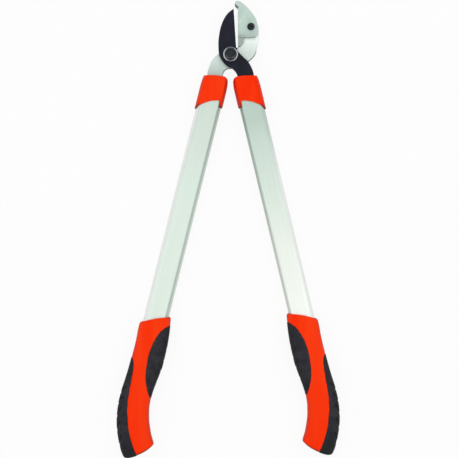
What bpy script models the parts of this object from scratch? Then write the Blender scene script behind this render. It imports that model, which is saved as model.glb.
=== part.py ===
"""Long-handled anvil lopper, lying on the head of its pivot bolt and on its two grips.

Frame: metres, +Z up, +Y from the pivot towards the tips of the jaws, +X towards the anvil.
The origin is where the pivot's axis meets the floor.
The jaws stand a few degrees open, and turning the blade's side about +Z opens them.
Each handle has its own frame on its tube's axis: u runs down the handle, v outwards, away from the
other handle. The right handle carries the blade and the left one the anvil.
"""
import math

import bmesh
import bpy
from mathutils import Matrix, Vector

MM = 0.001
ROUND = "AUTO"
CORNER = "VECTOR"
RIGHT = 1
LEFT = -1

# Fits and facets
FIT_GAP = 0.3 * MM
SLOT_GAP = 0.5 * MM
WELD_DISTANCE = 0.00001
CURVE_STEPS = 4
ROUND_STEPS = 32
SMALL_ROUND_STEPS = 16
OVERSHOOT = 2 * MM

# Jaw plates
ARM_THICKNESS = 5 * MM
BLADE_THICKNESS = 5 * MM
JAW_OPENING = math.radians(3.7)

# Pivot
BOLT_RADIUS = 5 * MM
BOLT_HEAD_FLATS = 16 * MM
BOLT_HEAD_HEIGHT = 6.4 * MM
BOLT_END_LENGTH = 1.0 * MM
NUT_FLATS = 15 * MM
NUT_HEIGHT = 8 * MM
NUT_FLANGE_RADIUS = 8.8 * MM
NUT_FLANGE_HEIGHT = 1.4 * MM
WASHER_RADIUS = 10.5 * MM
WASHER_THICKNESS = 1.6 * MM
SPRING_WASHER_RADIUS = 10.5 * MM
SPRING_WASHER_STOCK = 0.9 * MM
SPRING_WASHER_HEIGHT = 1.6 * MM
FRICTION_WASHER_RADIUS = 12.5 * MM
FRICTION_WASHER_THICKNESS = 0.5 * MM
BUSHING_WALL = 1.2 * MM

# Cutting edge, measured from the pivot across and along the edge
BEVEL_WIDTH = 1.7 * MM
BEVEL_HALF_THICKNESS = 0.6 * MM
EDGE_HALF_THICKNESS = 0.08 * MM
GRIND_WIDTH = 8 * MM
EDGE_START = 9.2 * MM
GRIND_START = 13 * MM
EDGE_END = 61.2 * MM

# Anvil
ANVIL_FACE = 10.4 * MM
ANVIL_WALL = 3 * MM
ANVIL_FOOT = 11.2 * MM
ANVIL_FRONT_CHEEK = 5.5 * MM
ANVIL_BACK_CHEEK = 2.5 * MM
ANVIL_SLOT_TOP = 64.3 * MM
FOOT_RECESS = 1.5 * MM
FACE_CHAMFER_WIDTH = 2.8 * MM
FACE_CHAMFER_DEPTH = 1.2 * MM
HOOK_CORNER = (6.2 * MM, 69.2 * MM)
HOOK_ROOT = 65 * MM
HOOK_LEAN = 1.2 * MM

# Anvil screw
SCREW_PLACE = (28.4 * MM, 38.6 * MM)
SCREW_RADIUS = 3 * MM
SCREW_HEAD_RADIUS = 5.25 * MM
SCREW_HEAD_HEIGHT = 3.3 * MM
SCREW_SOCKET_FLATS = 4 * MM
SCREW_SOCKET_DEPTH = 2 * MM
SCREW_NUT_FLATS = 10 * MM
SCREW_NUT_HEIGHT = 3.2 * MM
SCREW_END_LENGTH = 0.5 * MM

# Handles, of which the left one stands a little wider and holds its grip a little lower
HANDLE_ANGLE = {RIGHT: math.radians(13.4), LEFT: math.radians(14)}
HANDLE_OFFSET = 12 * MM
TUBE_WIDTH = 34 * MM
TUBE_DEPTH = 18 * MM
TUBE_WALL = 1.5 * MM
TUBE_START = 44.5 * MM
TUBE_LENGTH = 453 * MM
LEFT_TUBE_EXTRA = 6.1 * MM
TUBE_ROUND = 9 * MM
TUBE_FACET_WIDTH = 4 * MM
TUBE_SIDE_DEPTH = 5 * MM

# Tangs inside the tubes, with their rivets
TANG_ROOT = 43 * MM
TANG_END = 92 * MM
TANG_INNER = -9 * MM
TANG_OUTER = 11.4 * MM
NECK_INNER = -9.6 * MM
NECK_OUTER = 14 * MM
TANG_END_INNER = -7 * MM
TANG_END_OUTER = 9 * MM
INSERT_END = 96 * MM
RIVET_RADIUS = 2.5 * MM
RIVET_PLACES = (54 * MM, 66 * MM)
RIVET_V = 2 * MM

# Ferrules
FERRULE_TOP = 30 * MM

# Distance down the handle and wall over the tube, in millimetres
FERRULE_SECTIONS = ((30, -1), (35, -0.3), (37, 0.1), (40, 0.6), (44, 1.1), (53, 1.5), (88, 1.5))

# Grips
GRIP_SOCKET_DEPTH = 118 * MM
GRIP_STRAIGHT = 119 * MM
GRIP_BEND_RADIUS = 98 * MM
GRIP_CROWN = 0.65 * MM
GRIP_RIM_LEAN = math.radians(23)
GRIP_RIM_RADIUS = 100 * MM
GRIP_RIM_RISE = 2.1 * MM
GRIP_LEAN_FADE = 45 * MM
GRIP_END_RADIUS = 100 * MM
GRIP_END_RISE = 1.9 * MM
GRIP_END_MIDDLE = -3 * MM
GRIP_END_FADE = 30 * MM
GRIP_SQUARENESS = 2.6
GRIP_RING_STEPS = 20
PAD_DEPTH = 1.4 * MM
PAD_RAISE = 0.3 * MM

# Distance from the rim, walls over the tube on the inner and outer side, and drop of the crown,
# in millimetres
GRIP_SECTIONS = (
    (0, 1.9, 2.2, 2.9),
    (2, 3.2, 3.1, 2.0),
    (12, 4.9, 3.2, 1.0),
    (24, 6.6, 3.0, 0.4),
    (40, 7.8, 2.9, 0),
    (60, 7.9, 3.1, 0),
    (72, 6.7, 3.4, 0),
    (84, 5.2, 3.9, 0),
    (96, 3.7, 4.7, 0),
    (107, 3.1, 5.5, 0),
    (119, 3.8, 5.6, 0),
    (133, 5.0, 5.5, 0),
    (146, 5.5, 5.9, 0),
    (160, 5.7, 6.4, 0),
    (172, 5.1, 7.1, 0.2),
    (181, 4.6, 8.0, 1.0),
    (186, 4.1, 8.1, 2.0),
    (188.8, 3.0, 7.2, 3.2),
    (190, -2.5, 4.6, 4.5),
)

# Colours, roughness and metallic values
DARK_COATING = ("dark_coating", (0.020, 0.022, 0.030), 0.45, 0.3)
GROUND_STEEL = ("ground_steel", (0.62, 0.66, 0.63), 0.35, 1.0)
CAST_ALLOY = ("cast_alloy", (0.48, 0.58, 0.52), 0.5, 0.8)
BLACK_STEEL = ("black_steel", (0.02, 0.022, 0.025), 0.4, 0.6)
BRIGHT_STEEL = ("bright_steel", (0.65, 0.67, 0.68), 0.25, 1.0)
BRONZE = ("bronze", (0.55, 0.36, 0.16), 0.45, 0.9)
WHITE_ACETAL = ("white_acetal", (0.80, 0.80, 0.77), 0.5, 0.0)
ANODISED_TUBE = ("anodised_tube", (0.66, 0.72, 0.68), 0.38, 1.0)
GREY_NYLON = ("grey_nylon", (0.20, 0.20, 0.20), 0.6, 0.0)
ORANGE_PLASTIC = ("orange_plastic", (0.90, 0.055, 0.006), 0.42, 0.0)
BLACK_RUBBER = ("black_rubber", (0.016, 0.016, 0.018), 0.7, 0.0)

# Heights from the plane between the jaw plates, which is also the plane of the handles
PLATE_CLEARANCE = FRICTION_WASHER_THICKNESS / 2 + FIT_GAP
BLADE_LOW = PLATE_CLEARANCE
BLADE_HIGH = BLADE_LOW + BLADE_THICKNESS
ARM_HIGH = -PLATE_CLEARANCE
ARM_LOW = ARM_HIGH - ARM_THICKNESS
SPRING_HIGH = ARM_LOW - FIT_GAP
SPRING_LOW = SPRING_HIGH - SPRING_WASHER_HEIGHT
BOLT_HEAD_HIGH = SPRING_LOW - FIT_GAP
BOLT_HEAD_LOW = BOLT_HEAD_HIGH - BOLT_HEAD_HEIGHT
PLANE_HEIGHT = -BOLT_HEAD_LOW
WASHER_LOW = BLADE_HIGH + FIT_GAP
WASHER_HIGH = WASHER_LOW + WASHER_THICKNESS
NUT_LOW = WASHER_HIGH + FIT_GAP
NUT_HIGH = NUT_LOW + NUT_HEIGHT
ANVIL_SLOT_LOW = ARM_LOW - FIT_GAP
ANVIL_SLOT_HIGH = ARM_HIGH + FIT_GAP
ANVIL_LOW = ANVIL_SLOT_LOW - ANVIL_BACK_CHEEK
ANVIL_HIGH = ANVIL_SLOT_HIGH + ANVIL_FRONT_CHEEK
EDGE_OFFSET = ANVIL_FACE - FIT_GAP
ARM_JAW_EDGE = ANVIL_FACE + ANVIL_WALL + FIT_GAP
ARM_LEDGE = ANVIL_FOOT - FIT_GAP
ARM_TOP = ANVIL_SLOT_TOP - FIT_GAP
BORE_RADIUS = BOLT_RADIUS + FIT_GAP
BUSHING_RADIUS = BORE_RADIUS + BUSHING_WALL


def clear_scene():
    for obj in list(bpy.data.objects):
        bpy.data.objects.remove(obj, do_unlink=True)


def new_collection(name):
    collection = bpy.data.collections.new(name)
    bpy.context.scene.collection.children.link(collection)
    return collection


def get_material(look):
    """Return the Principled material of a look, made on its first use."""
    name, colour, roughness, metallic = look
    material = bpy.data.materials.get(name)
    if material is None:
        material = bpy.data.materials.new(name)
        material.use_nodes = True
        shader = material.node_tree.nodes["Principled BSDF"]
        shader.inputs["Base Color"].default_value = (*colour, 1)
        shader.inputs["Roughness"].default_value = roughness
        shader.inputs["Metallic"].default_value = metallic
        material.diffuse_color = (*colour, 1)
    return material


def add_piece(name, mesh, parent, look, location=(0, 0, 0), rotation=(0, 0, 0)):
    """Make a piece of the lopper from a mesh, in its parent's frame."""
    mesh.materials.clear()
    mesh.materials.append(get_material(look))
    mesh.shade_smooth()
    mesh.set_sharp_from_angle(angle=math.radians(35))
    piece = bpy.data.objects.new(name, mesh)
    piece.parent = parent
    piece.location = location
    piece.rotation_euler = rotation
    PIECES.objects.link(piece)
    return piece


def add_cutter(name, mesh, parent, location=(0, 0, 0), rotation=(0, 0, 0)):
    """Make a cutter, which shapes pieces and isn't one itself."""
    cutter = bpy.data.objects.new(name, mesh)
    cutter.parent = parent
    cutter.location = location
    cutter.rotation_euler = rotation
    cutter.display_type = "WIRE"
    cutter.hide_render = True
    CUTTERS.objects.link(cutter)
    return cutter


def combine(target, tool, operation):
    """Add a Boolean of two closed meshes to the target."""
    modifier = target.modifiers.new(tool.name, "BOOLEAN")
    modifier.operation = operation
    modifier.solver = "EXACT"
    modifier.object = tool


def cut(target, tool):
    combine(target, tool, "DIFFERENCE")


def add_frame(name, parent, location, turn):
    """Add an empty that carries pieces, turned about its own Z."""
    frame = bpy.data.objects.new(name, None)
    frame.empty_display_size = 0.02
    frame.parent = parent
    frame.location = location
    frame.rotation_euler = (0, 0, turn)
    PIECES.objects.link(frame)
    return frame


def circle(radius, centre=(0, 0), steps=ROUND_STEPS):
    """Return the corners of a round outline."""
    angles = [2 * math.pi * step / steps for step in range(steps)]
    return [(centre[0] + radius * math.cos(a), centre[1] + radius * math.sin(a), CORNER)
            for a in angles]


def hexagon(flats):
    """Return the corners of a hexagon, two of them on the X axis."""
    return circle(flats / math.sqrt(3), steps=6)


def millimetres(points):
    """Turn an outline written in millimetres into metres."""
    return [(x * MM, y * MM, kind) for x, y, kind in points]


def grown(points, distance):
    """Move the points of a clockwise outline outwards."""
    moved = []
    for index, (x, y, kind) in enumerate(points):
        before = points[index - 1]
        after = points[(index + 1) % len(points)]
        along = Vector((after[0] - before[0], after[1] - before[1])).normalized()
        moved.append((x - along.y * distance, y + along.x * distance, kind))
    return moved


def prism_mesh(name, outlines, height):
    """Extrude a flat outline, with any further outlines as holes, about its own plane."""
    curve = bpy.data.curves.new(name, "CURVE")
    curve.dimensions = "2D"
    curve.fill_mode = "BOTH"
    curve.extrude = height / 2
    curve.resolution_u = CURVE_STEPS
    for outline in outlines:
        spline = curve.splines.new("BEZIER")
        spline.bezier_points.add(len(outline) - 1)
        spline.use_cyclic_u = True
        for point, (x, y, kind) in zip(spline.bezier_points, outline):
            point.co = (x, y, 0)
            point.handle_left_type = kind
            point.handle_right_type = kind
        if all(kind == CORNER for _, _, kind in outline):
            spline.resolution_u = 1
    return mesh_of_curve(curve)


def mesh_of_curve(curve):
    """Turn a curve into a closed mesh with its caps welded on, and remove the curve."""
    guide = bpy.data.objects.new(curve.name, curve)
    bpy.context.scene.collection.objects.link(guide)
    bpy.context.view_layer.update()
    evaluated = guide.evaluated_get(bpy.context.evaluated_depsgraph_get())
    mesh = bpy.data.meshes.new_from_object(evaluated)
    bpy.data.objects.remove(guide, do_unlink=True)
    bpy.data.curves.remove(curve)
    work = bmesh.new()
    work.from_mesh(mesh)
    bmesh.ops.remove_doubles(work, verts=work.verts, dist=WELD_DISTANCE)
    bmesh.ops.recalc_face_normals(work, faces=work.faces)
    work.to_mesh(mesh)
    work.free()
    return mesh


def cylinder_mesh(name, radius, low, high, places=((0, 0),), steps=ROUND_STEPS):
    """Make upright cylinders between two heights."""
    mesh = bpy.data.meshes.new(name)
    work = bmesh.new()
    for x, y in places:
        bmesh.ops.create_cone(
            work, cap_ends=True, segments=steps, radius1=radius, radius2=radius,
            depth=high - low, matrix=Matrix.Translation((x, y, (low + high) / 2)))
    work.to_mesh(mesh)
    work.free()
    return mesh


def turned_piece(name, profile, closed, parent, look, location, steps=ROUND_STEPS):
    """Turn a profile, given from the top down its outer side, about Z."""
    mesh = bpy.data.meshes.new(name)
    count = len(profile)
    edges = [(index, index + 1) for index in range(count - 1)]
    if closed:
        edges.append((count - 1, 0))
    mesh.from_pydata([(radius, 0, height) for radius, height in profile], edges, [])
    piece = add_piece(name, mesh, parent, look, location)
    screw = piece.modifiers.new("turn", "SCREW")
    screw.axis = "Z"
    screw.angle = 2 * math.pi
    screw.steps = steps
    screw.render_steps = steps
    screw.use_merge_vertices = True
    screw.merge_threshold = WELD_DISTANCE
    return piece


def strip_cap(work, ring):
    """Close a ring that mirrors itself across its first point with strips between its halves."""
    middle = len(ring) // 2
    work.faces.new((ring[0], ring[1], ring[-1]))
    for index in range(1, middle - 1):
        work.faces.new((ring[index], ring[index + 1], ring[-index - 1], ring[-index]))
    work.faces.new(ring[middle - 1:middle + 2])


def loft_mesh(name, rings, strip_caps=False):
    """Skin a row of rings that have the same number of points, and cap both ends."""
    mesh = bpy.data.meshes.new(name)
    work = bmesh.new()
    rows = [[work.verts.new(point) for point in ring] for ring in rings]
    for row, following in zip(rows, rows[1:]):
        for index, corner in enumerate(row):
            beside = index - 1
            work.faces.new((row[beside], corner, following[index], following[beside]))
    for ring in (rows[0], rows[-1]):
        if strip_caps:
            strip_cap(work, ring)
        else:
            work.faces.new(ring)
    bmesh.ops.recalc_face_normals(work, faces=work.faces)
    work.to_mesh(mesh)
    work.free()
    return mesh


def handle_point(side, u, v):
    """Return a handle's point in the head's frame."""
    across = v + HANDLE_OFFSET
    sine = math.sin(HANDLE_ANGLE[side])
    cosine = math.cos(HANDLE_ANGLE[side])
    x = u * sine + across * cosine
    y = -u * cosine + across * sine
    return side * x, y


def handle_frame(name, side, parent):
    """Add the frame of a handle, with its local X down the handle."""
    x, y = handle_point(side, 0, 0)
    turn = -math.pi / 2 + side * HANDLE_ANGLE[side]
    return add_frame(name, parent, (x, y, 0), turn)


def edge_point(across, along):
    """Return a point of the blade from its distances across and along the cutting edge."""
    cosine = math.cos(JAW_OPENING)
    sine = math.sin(JAW_OPENING)
    return across * cosine - along * sine, across * sine + along * cosine


def tang_corners(side):
    """Return the tang's four corners in the head's frame, from its inner root to its outer one."""
    return [
        (*handle_point(side, TANG_ROOT, TANG_INNER), CORNER),
        (*handle_point(side, TANG_END, TANG_END_INNER), CORNER),
        (*handle_point(side, TANG_END, TANG_END_OUTER), CORNER),
        (*handle_point(side, TANG_ROOT, TANG_OUTER), CORNER),
    ]


def rivet_holes(side):
    """Return the outlines of the rivet holes in a tang, in the head's frame."""
    radius = RIVET_RADIUS + FIT_GAP
    return [circle(radius, handle_point(side, u, RIVET_V), SMALL_ROUND_STEPS) for u in RIVET_PLACES]


def blade_outline():
    """Return the blade's outline with its tang, from the tip down the back."""
    back = millimetres([
        (3.9, 63.9, CORNER), (-4.9, 56.1, ROUND), (-12.4, 42.2, ROUND), (-16.3, 25.3, ROUND),
        (-17.1, 11, ROUND), (-15.4, -2, ROUND), (-9.9, -11.2, ROUND), (-4, -16.8, ROUND),
        (2.2, -19.9, ROUND), (7.4, -25.3, ROUND), (10.2, -31.5, ROUND)])
    shoulder = millimetres([
        (32.2, -27, ROUND), (28.4, -16.8, ROUND), (24.3, -10.1, ROUND), (17.7, -3.8, ROUND),
        (11.6, 2.5, ROUND), (9.2, 5, CORNER)])
    heel = (*edge_point(EDGE_OFFSET, EDGE_START), CORNER)
    edge_end = (*edge_point(EDGE_OFFSET, EDGE_END), CORNER)
    return back + tang_corners(RIGHT) + shoulder + [heel, edge_end]


def cut_edge(blade, parent):
    """Grind both sides of the blade: a wide black grind and the narrow bevel at the edge."""
    beyond = EDGE_OFFSET + OVERSHOOT
    over = BLADE_THICKNESS / 2 + OVERSHOOT
    bevel = EDGE_OFFSET - BEVEL_WIDTH
    grind = EDGE_OFFSET - GRIND_WIDTH
    run_out = EDGE_END + 4 * OVERSHOOT
    shapes = {
        "grind": (GRIND_START, [
            (grind, BLADE_THICKNESS / 2), (bevel, BEVEL_HALF_THICKNESS),
            (beyond, BEVEL_HALF_THICKNESS), (beyond, over), (grind, over)]),
        "bevel": (EDGE_START - OVERSHOOT, [
            (bevel, BEVEL_HALF_THICKNESS), (EDGE_OFFSET, EDGE_HALF_THICKNESS),
            (beyond, EDGE_HALF_THICKNESS), (beyond, over), (bevel, over)]),
    }
    middle = (BLADE_LOW + BLADE_HIGH) / 2
    for label, (start, shape) in shapes.items():
        for face in (1, -1):
            outline = [(across, face * height, CORNER) for across, height in shape]
            name = f"{label}_cutter_{'front' if face > 0 else 'back'}"
            mesh = prism_mesh(name, [outline], run_out - start)
            x, y = edge_point(0, (start + run_out) / 2)
            tool = add_cutter(name, mesh, parent, (x, y, middle), (math.pi / 2, 0, JAW_OPENING))
            cut(blade, tool)


def make_blade(parent):
    hole = circle(BUSHING_RADIUS + FIT_GAP)
    mesh = prism_mesh("cutting_blade", [blade_outline(), hole] + rivet_holes(RIGHT), BLADE_THICKNESS)
    middle = (BLADE_LOW + BLADE_HIGH) / 2
    blade = add_piece("cutting_blade", mesh, parent, DARK_COATING, (0, 0, middle))
    cut_edge(blade, parent)


def arm_outline():
    """Return the anvil arm's outline with its tang, from the jaw's top round the outer side."""
    rim = millimetres([
        (28, 58.5, ROUND), (33.5, 50.5, ROUND), (37.6, 43.4, ROUND), (39.3, 36, ROUND),
        (39.5, 29, ROUND), (38.6, 18.2, ROUND), (36.9, 11, ROUND), (35.9, 4, ROUND),
        (34.6, 0.7, ROUND), (32.6, -2.3, ROUND), (28.5, -6.7, ROUND), (21.4, -12, ROUND),
        (10, -16.8, ROUND), (3.5, -19, ROUND), (-2.9, -19.4, ROUND), (-6.6, -20.7, ROUND),
        (-9.1, -23.4, ROUND), (-11.2, -29, ROUND)])
    shoulder = millimetres([
        (-32.2, -24.5, ROUND), (-29.5, -15.4, ROUND), (-25.6, -7, ROUND), (-20.3, -1.4, ROUND),
        (-14.4, 4, ROUND), (-9.8, 10, ROUND), (-3, 13.6, ROUND), (4, 13.2, ROUND)])
    top_width = 9.1 * MM
    ledge_width = 4.2 * MM
    jaw = [
        (ARM_JAW_EDGE - ledge_width, ARM_LEDGE, CORNER), (ARM_JAW_EDGE, ARM_LEDGE, CORNER),
        (ARM_JAW_EDGE, ARM_TOP, CORNER), (ARM_JAW_EDGE + top_width, ARM_TOP, CORNER)]
    return rim + tang_corners(LEFT) + shoulder + jaw


def make_anvil_arm(parent):
    holes = [circle(BORE_RADIUS), circle(SCREW_RADIUS + FIT_GAP, SCREW_PLACE, SMALL_ROUND_STEPS)]
    mesh = prism_mesh("anvil_arm", [arm_outline()] + holes + rivet_holes(LEFT), ARM_THICKNESS)
    add_piece("anvil_arm", mesh, parent, GROUND_STEEL, (0, 0, (ARM_LOW + ARM_HIGH) / 2))


def anvil_outline():
    """Return the anvil's outline, from the foot of its face up the outer side to the hook."""
    cheek = millimetres([
        (16.4, 15, ROUND), (17.7, 17.3, ROUND), (18.4, 20.2, ROUND), (18.5, 23.8, CORNER),
        (32.8, 23.8, CORNER), (35.2, 25.1, ROUND), (36.9, 28.2, ROUND), (37.9, 34, ROUND),
        (37.4, 42, ROUND), (35.5, 49, ROUND), (31.2, 56, ROUND), (24.8, 64.2, ROUND),
        (16.5, 71.6, ROUND), (10.4, 74.6, ROUND), (7.2, 73.5, ROUND), (6.1, 71.8, ROUND)])
    foot = [
        (ANVIL_FACE, ANVIL_FOOT, CORNER), (ANVIL_FACE + 1.2 * MM, ANVIL_FOOT, CORNER),
        (ANVIL_FACE + 3.9 * MM, ANVIL_FOOT + 1.6 * MM, ROUND)]
    hook = [(*HOOK_CORNER, CORNER), (ANVIL_FACE, HOOK_ROOT, CORNER)]
    return foot + cheek + hook


def anvil_slot(parent):
    """Make the cutter of the slot that the arm's plate fills."""
    inner = ANVIL_FACE + ANVIL_WALL
    outer = 60 * MM
    outline = [(inner, 0, CORNER), (outer, 0, CORNER), (outer, ANVIL_SLOT_TOP, CORNER),
               (inner, ANVIL_SLOT_TOP, CORNER)]
    mesh = prism_mesh("anvil_slot_cutter", [outline], ANVIL_SLOT_HIGH - ANVIL_SLOT_LOW)
    return add_cutter("anvil_slot_cutter", mesh, parent,
                      (0, 0, (ANVIL_SLOT_LOW + ANVIL_SLOT_HIGH) / 2))


def foot_recess(parent):
    """Make the cutter that sets the front of the anvil's foot back behind its cheek."""
    outline = millimetres([
        (8, 8, CORNER), (20.5, 8, CORNER), (20.5, 22.35, CORNER), (17.5, 24.3, CORNER),
        (8, 24.3, CORNER)])
    mesh = prism_mesh("foot_recess_cutter", [outline], 2 * FOOT_RECESS)
    return add_cutter("foot_recess_cutter", mesh, parent, (0, 0, ANVIL_HIGH))


def face_chamfer(parent):
    """Make the cutter of the chamfer along the front edge of the anvil's face."""
    outline = [
        (ANVIL_FACE - FACE_CHAMFER_WIDTH, ANVIL_HIGH - 2 * FACE_CHAMFER_DEPTH, CORNER),
        (ANVIL_FACE + 2 * FACE_CHAMFER_WIDTH, ANVIL_HIGH + FACE_CHAMFER_DEPTH, CORNER),
        (ANVIL_FACE - FACE_CHAMFER_WIDTH, ANVIL_HIGH + FACE_CHAMFER_DEPTH, CORNER)]
    low = ANVIL_FOOT - OVERSHOOT
    high = HOOK_ROOT + OVERSHOOT
    mesh = prism_mesh("face_chamfer_cutter", [outline], high - low)
    return add_cutter("face_chamfer_cutter", mesh, parent, (0, (low + high) / 2, 0),
                      (math.pi / 2, 0, 0))


def hook_lean(parent):
    """Make the cutter that leans the hook's underside back from the front."""
    start = Vector(HOOK_CORNER)
    end = Vector((ANVIL_FACE, HOOK_ROOT))
    along = (end - start).normalized()
    start -= along * OVERSHOOT
    inwards = math.atan2(along.x, -along.y)
    outline = [(-OVERSHOOT, ANVIL_LOW, CORNER), (0, ANVIL_LOW, CORNER),
               (HOOK_LEAN, ANVIL_HIGH, CORNER), (HOOK_LEAN, ANVIL_HIGH + OVERSHOOT, CORNER),
               (-OVERSHOOT, ANVIL_HIGH + OVERSHOOT, CORNER)]
    mesh = prism_mesh("hook_lean_cutter", [outline], (end - start).length)
    middle = (start + end) / 2
    return add_cutter("hook_lean_cutter", mesh, parent, (middle.x, middle.y, 0),
                      (math.pi / 2, 0, inwards))


def make_anvil(parent):
    hole = circle(SCREW_RADIUS + FIT_GAP, SCREW_PLACE, SMALL_ROUND_STEPS)
    mesh = prism_mesh("anvil", [anvil_outline(), hole], ANVIL_HIGH - ANVIL_LOW)
    anvil = add_piece("anvil", mesh, parent, CAST_ALLOY, (0, 0, (ANVIL_LOW + ANVIL_HIGH) / 2))
    cut(anvil, anvil_slot(parent))
    cut(anvil, foot_recess(parent))
    cut(anvil, face_chamfer(parent))
    cut(anvil, hook_lean(parent))


def make_anvil_screw(parent):
    """Make the button-head screw and its thin nut behind the anvil."""
    head_low = ANVIL_HIGH + FIT_GAP
    head_high = head_low + SCREW_HEAD_HEIGHT
    nut_high = ANVIL_LOW - FIT_GAP
    nut_low = nut_high - SCREW_NUT_HEIGHT
    dome = [(0, head_high), (0.45 * SCREW_HEAD_RADIUS, head_high),
            (0.72 * SCREW_HEAD_RADIUS, head_low + 0.82 * SCREW_HEAD_HEIGHT),
            (0.91 * SCREW_HEAD_RADIUS, head_low + 0.48 * SCREW_HEAD_HEIGHT),
            (SCREW_HEAD_RADIUS, head_low + 0.15 * SCREW_HEAD_HEIGHT),
            (SCREW_HEAD_RADIUS, head_low)]
    shank = [(SCREW_RADIUS, head_low), (SCREW_RADIUS, nut_low - SCREW_END_LENGTH),
             (0, nut_low - SCREW_END_LENGTH)]
    screw = turned_piece("anvil_screw", dome + shank, False, parent, BLACK_STEEL,
                         (*SCREW_PLACE, 0), 24)
    socket = prism_mesh("screw_socket_cutter", [hexagon(SCREW_SOCKET_FLATS)],
                        2 * SCREW_SOCKET_DEPTH)
    cut(screw, add_cutter("screw_socket_cutter", socket, parent, (*SCREW_PLACE, head_high)))
    nut = prism_mesh("anvil_screw_nut", [hexagon(SCREW_NUT_FLATS),
                     circle(SCREW_RADIUS + FIT_GAP, steps=SMALL_ROUND_STEPS)], SCREW_NUT_HEIGHT)
    add_piece("anvil_screw_nut", nut, parent, BLACK_STEEL,
              (*SCREW_PLACE, (nut_low + nut_high) / 2))


def make_pivot(anvil_side, blade_side):
    """Make the bolt, nut and washers of the pivot, and the bushing in the blade."""
    head = prism_mesh("pivot_bolt", [hexagon(BOLT_HEAD_FLATS)], BOLT_HEAD_HEIGHT)
    bolt = add_piece("pivot_bolt", head, anvil_side, BLACK_STEEL,
                     (0, 0, (BOLT_HEAD_LOW + BOLT_HEAD_HIGH) / 2))
    shank = cylinder_mesh("bolt_shank_guide", BOLT_RADIUS, BOLT_HEAD_HIGH - OVERSHOOT,
                          NUT_HIGH + BOLT_END_LENGTH)
    combine(bolt, add_cutter("bolt_shank_guide", shank, anvil_side), "UNION")

    ring_pieces = (
        ("pivot_nut", hexagon(NUT_FLATS), BORE_RADIUS, NUT_LOW, NUT_HIGH, BLACK_STEEL, anvil_side),
        ("pivot_washer", circle(WASHER_RADIUS), BORE_RADIUS, WASHER_LOW, WASHER_HIGH,
         BRIGHT_STEEL, anvil_side),
        ("friction_washer", circle(FRICTION_WASHER_RADIUS), BORE_RADIUS,
         -FRICTION_WASHER_THICKNESS / 2, FRICTION_WASHER_THICKNESS / 2, WHITE_ACETAL, anvil_side),
        ("pivot_bushing", circle(BUSHING_RADIUS), BORE_RADIUS, BLADE_LOW, BLADE_HIGH,
         BRONZE, blade_side),
    )
    for name, outline, bore, low, high, look, parent in ring_pieces:
        mesh = prism_mesh(name, [outline, circle(bore)], high - low)
        piece = add_piece(name, mesh, parent, look, (0, 0, (low + high) / 2))
        if name == "pivot_nut":
            outlines = [circle(NUT_FLANGE_RADIUS), circle(bore)]
            flange = prism_mesh("nut_flange_guide", outlines, NUT_FLANGE_HEIGHT)
            place = (0, 0, low + NUT_FLANGE_HEIGHT / 2)
            combine(piece, add_cutter("nut_flange_guide", flange, parent, place), "UNION")

    # A conical spring washer, its wide rim against the arm
    rise = SPRING_WASHER_HEIGHT - SPRING_WASHER_STOCK
    cone = [(SPRING_WASHER_RADIUS, SPRING_HIGH),
            (SPRING_WASHER_RADIUS, SPRING_HIGH - SPRING_WASHER_STOCK),
            (BORE_RADIUS, SPRING_LOW), (BORE_RADIUS, SPRING_HIGH - rise)]
    turned_piece("spring_washer", cone, True, anvil_side, BRIGHT_STEEL, (0, 0, 0))


def tube_end(side):
    extra = LEFT_TUBE_EXTRA if side == LEFT else 0
    return TUBE_START + TUBE_LENGTH + extra


def tube_outline(side, growth):
    """Return the tube's section, with a round outer side and a facetted inner one."""
    half_width = TUBE_WIDTH / 2 + growth
    half_depth = TUBE_DEPTH / 2 + growth
    half_side = TUBE_SIDE_DEPTH / 2
    steps = 8
    points = []
    for step in range(steps + 1):
        angle = math.pi * step / steps - math.pi / 2
        v = half_width - TUBE_ROUND + TUBE_ROUND * math.cos(angle)
        points.append((v, half_depth * math.sin(angle)))
    points += [(TUBE_FACET_WIDTH - half_width, half_depth), (-half_width, half_side),
               (-half_width, -half_side), (TUBE_FACET_WIDTH - half_width, -half_depth)]
    return [(side * v, z, CORNER) for v, z in points]


def along_handle(start, end):
    """Return the place and turn of a prism that runs down the handle."""
    return ((start + end) / 2, 0, 0), (math.pi / 2, 0, math.pi / 2)


def rivet_cutter(name, side, parent):
    places = [(u, side * RIVET_V) for u in RIVET_PLACES]
    reach = TUBE_DEPTH / 2 + OVERSHOOT
    mesh = cylinder_mesh(name, RIVET_RADIUS + FIT_GAP, -reach, reach, places, SMALL_ROUND_STEPS)
    return add_cutter(name, mesh, parent)


def make_tube(label, side, parent, rivets):
    outlines = [tube_outline(side, 0), tube_outline(side, -TUBE_WALL)]
    mesh = prism_mesh(f"{label}_handle_tube", outlines, tube_end(side) - TUBE_START)
    place, turn = along_handle(TUBE_START, tube_end(side))
    tube = add_piece(f"{label}_handle_tube", mesh, parent, ANODISED_TUBE, place, turn)
    cut(tube, rivets)


def tang_slot(label, side, parent, low, high):
    """Make the cutter of the slot that a tang fills in the ferrule and the insert."""
    corners = [(FERRULE_TOP, NECK_INNER), (TANG_ROOT, TANG_INNER), (TANG_END, TANG_END_INNER),
               (TANG_END, TANG_END_OUTER), (TANG_ROOT, TANG_OUTER), (FERRULE_TOP, NECK_OUTER)]
    outline = []
    for u, v in corners:
        end_gap = SLOT_GAP if u == TANG_END else 0
        side_gap = SLOT_GAP if v > 0 else -SLOT_GAP
        outline.append((u + end_gap, side * (v + side_gap), CORNER))
    name = f"{label}_tang_slot_cutter"
    mesh = prism_mesh(name, [outline], high - low + 2 * FIT_GAP)
    return add_cutter(name, mesh, parent, (0, 0, (low + high) / 2))


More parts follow.
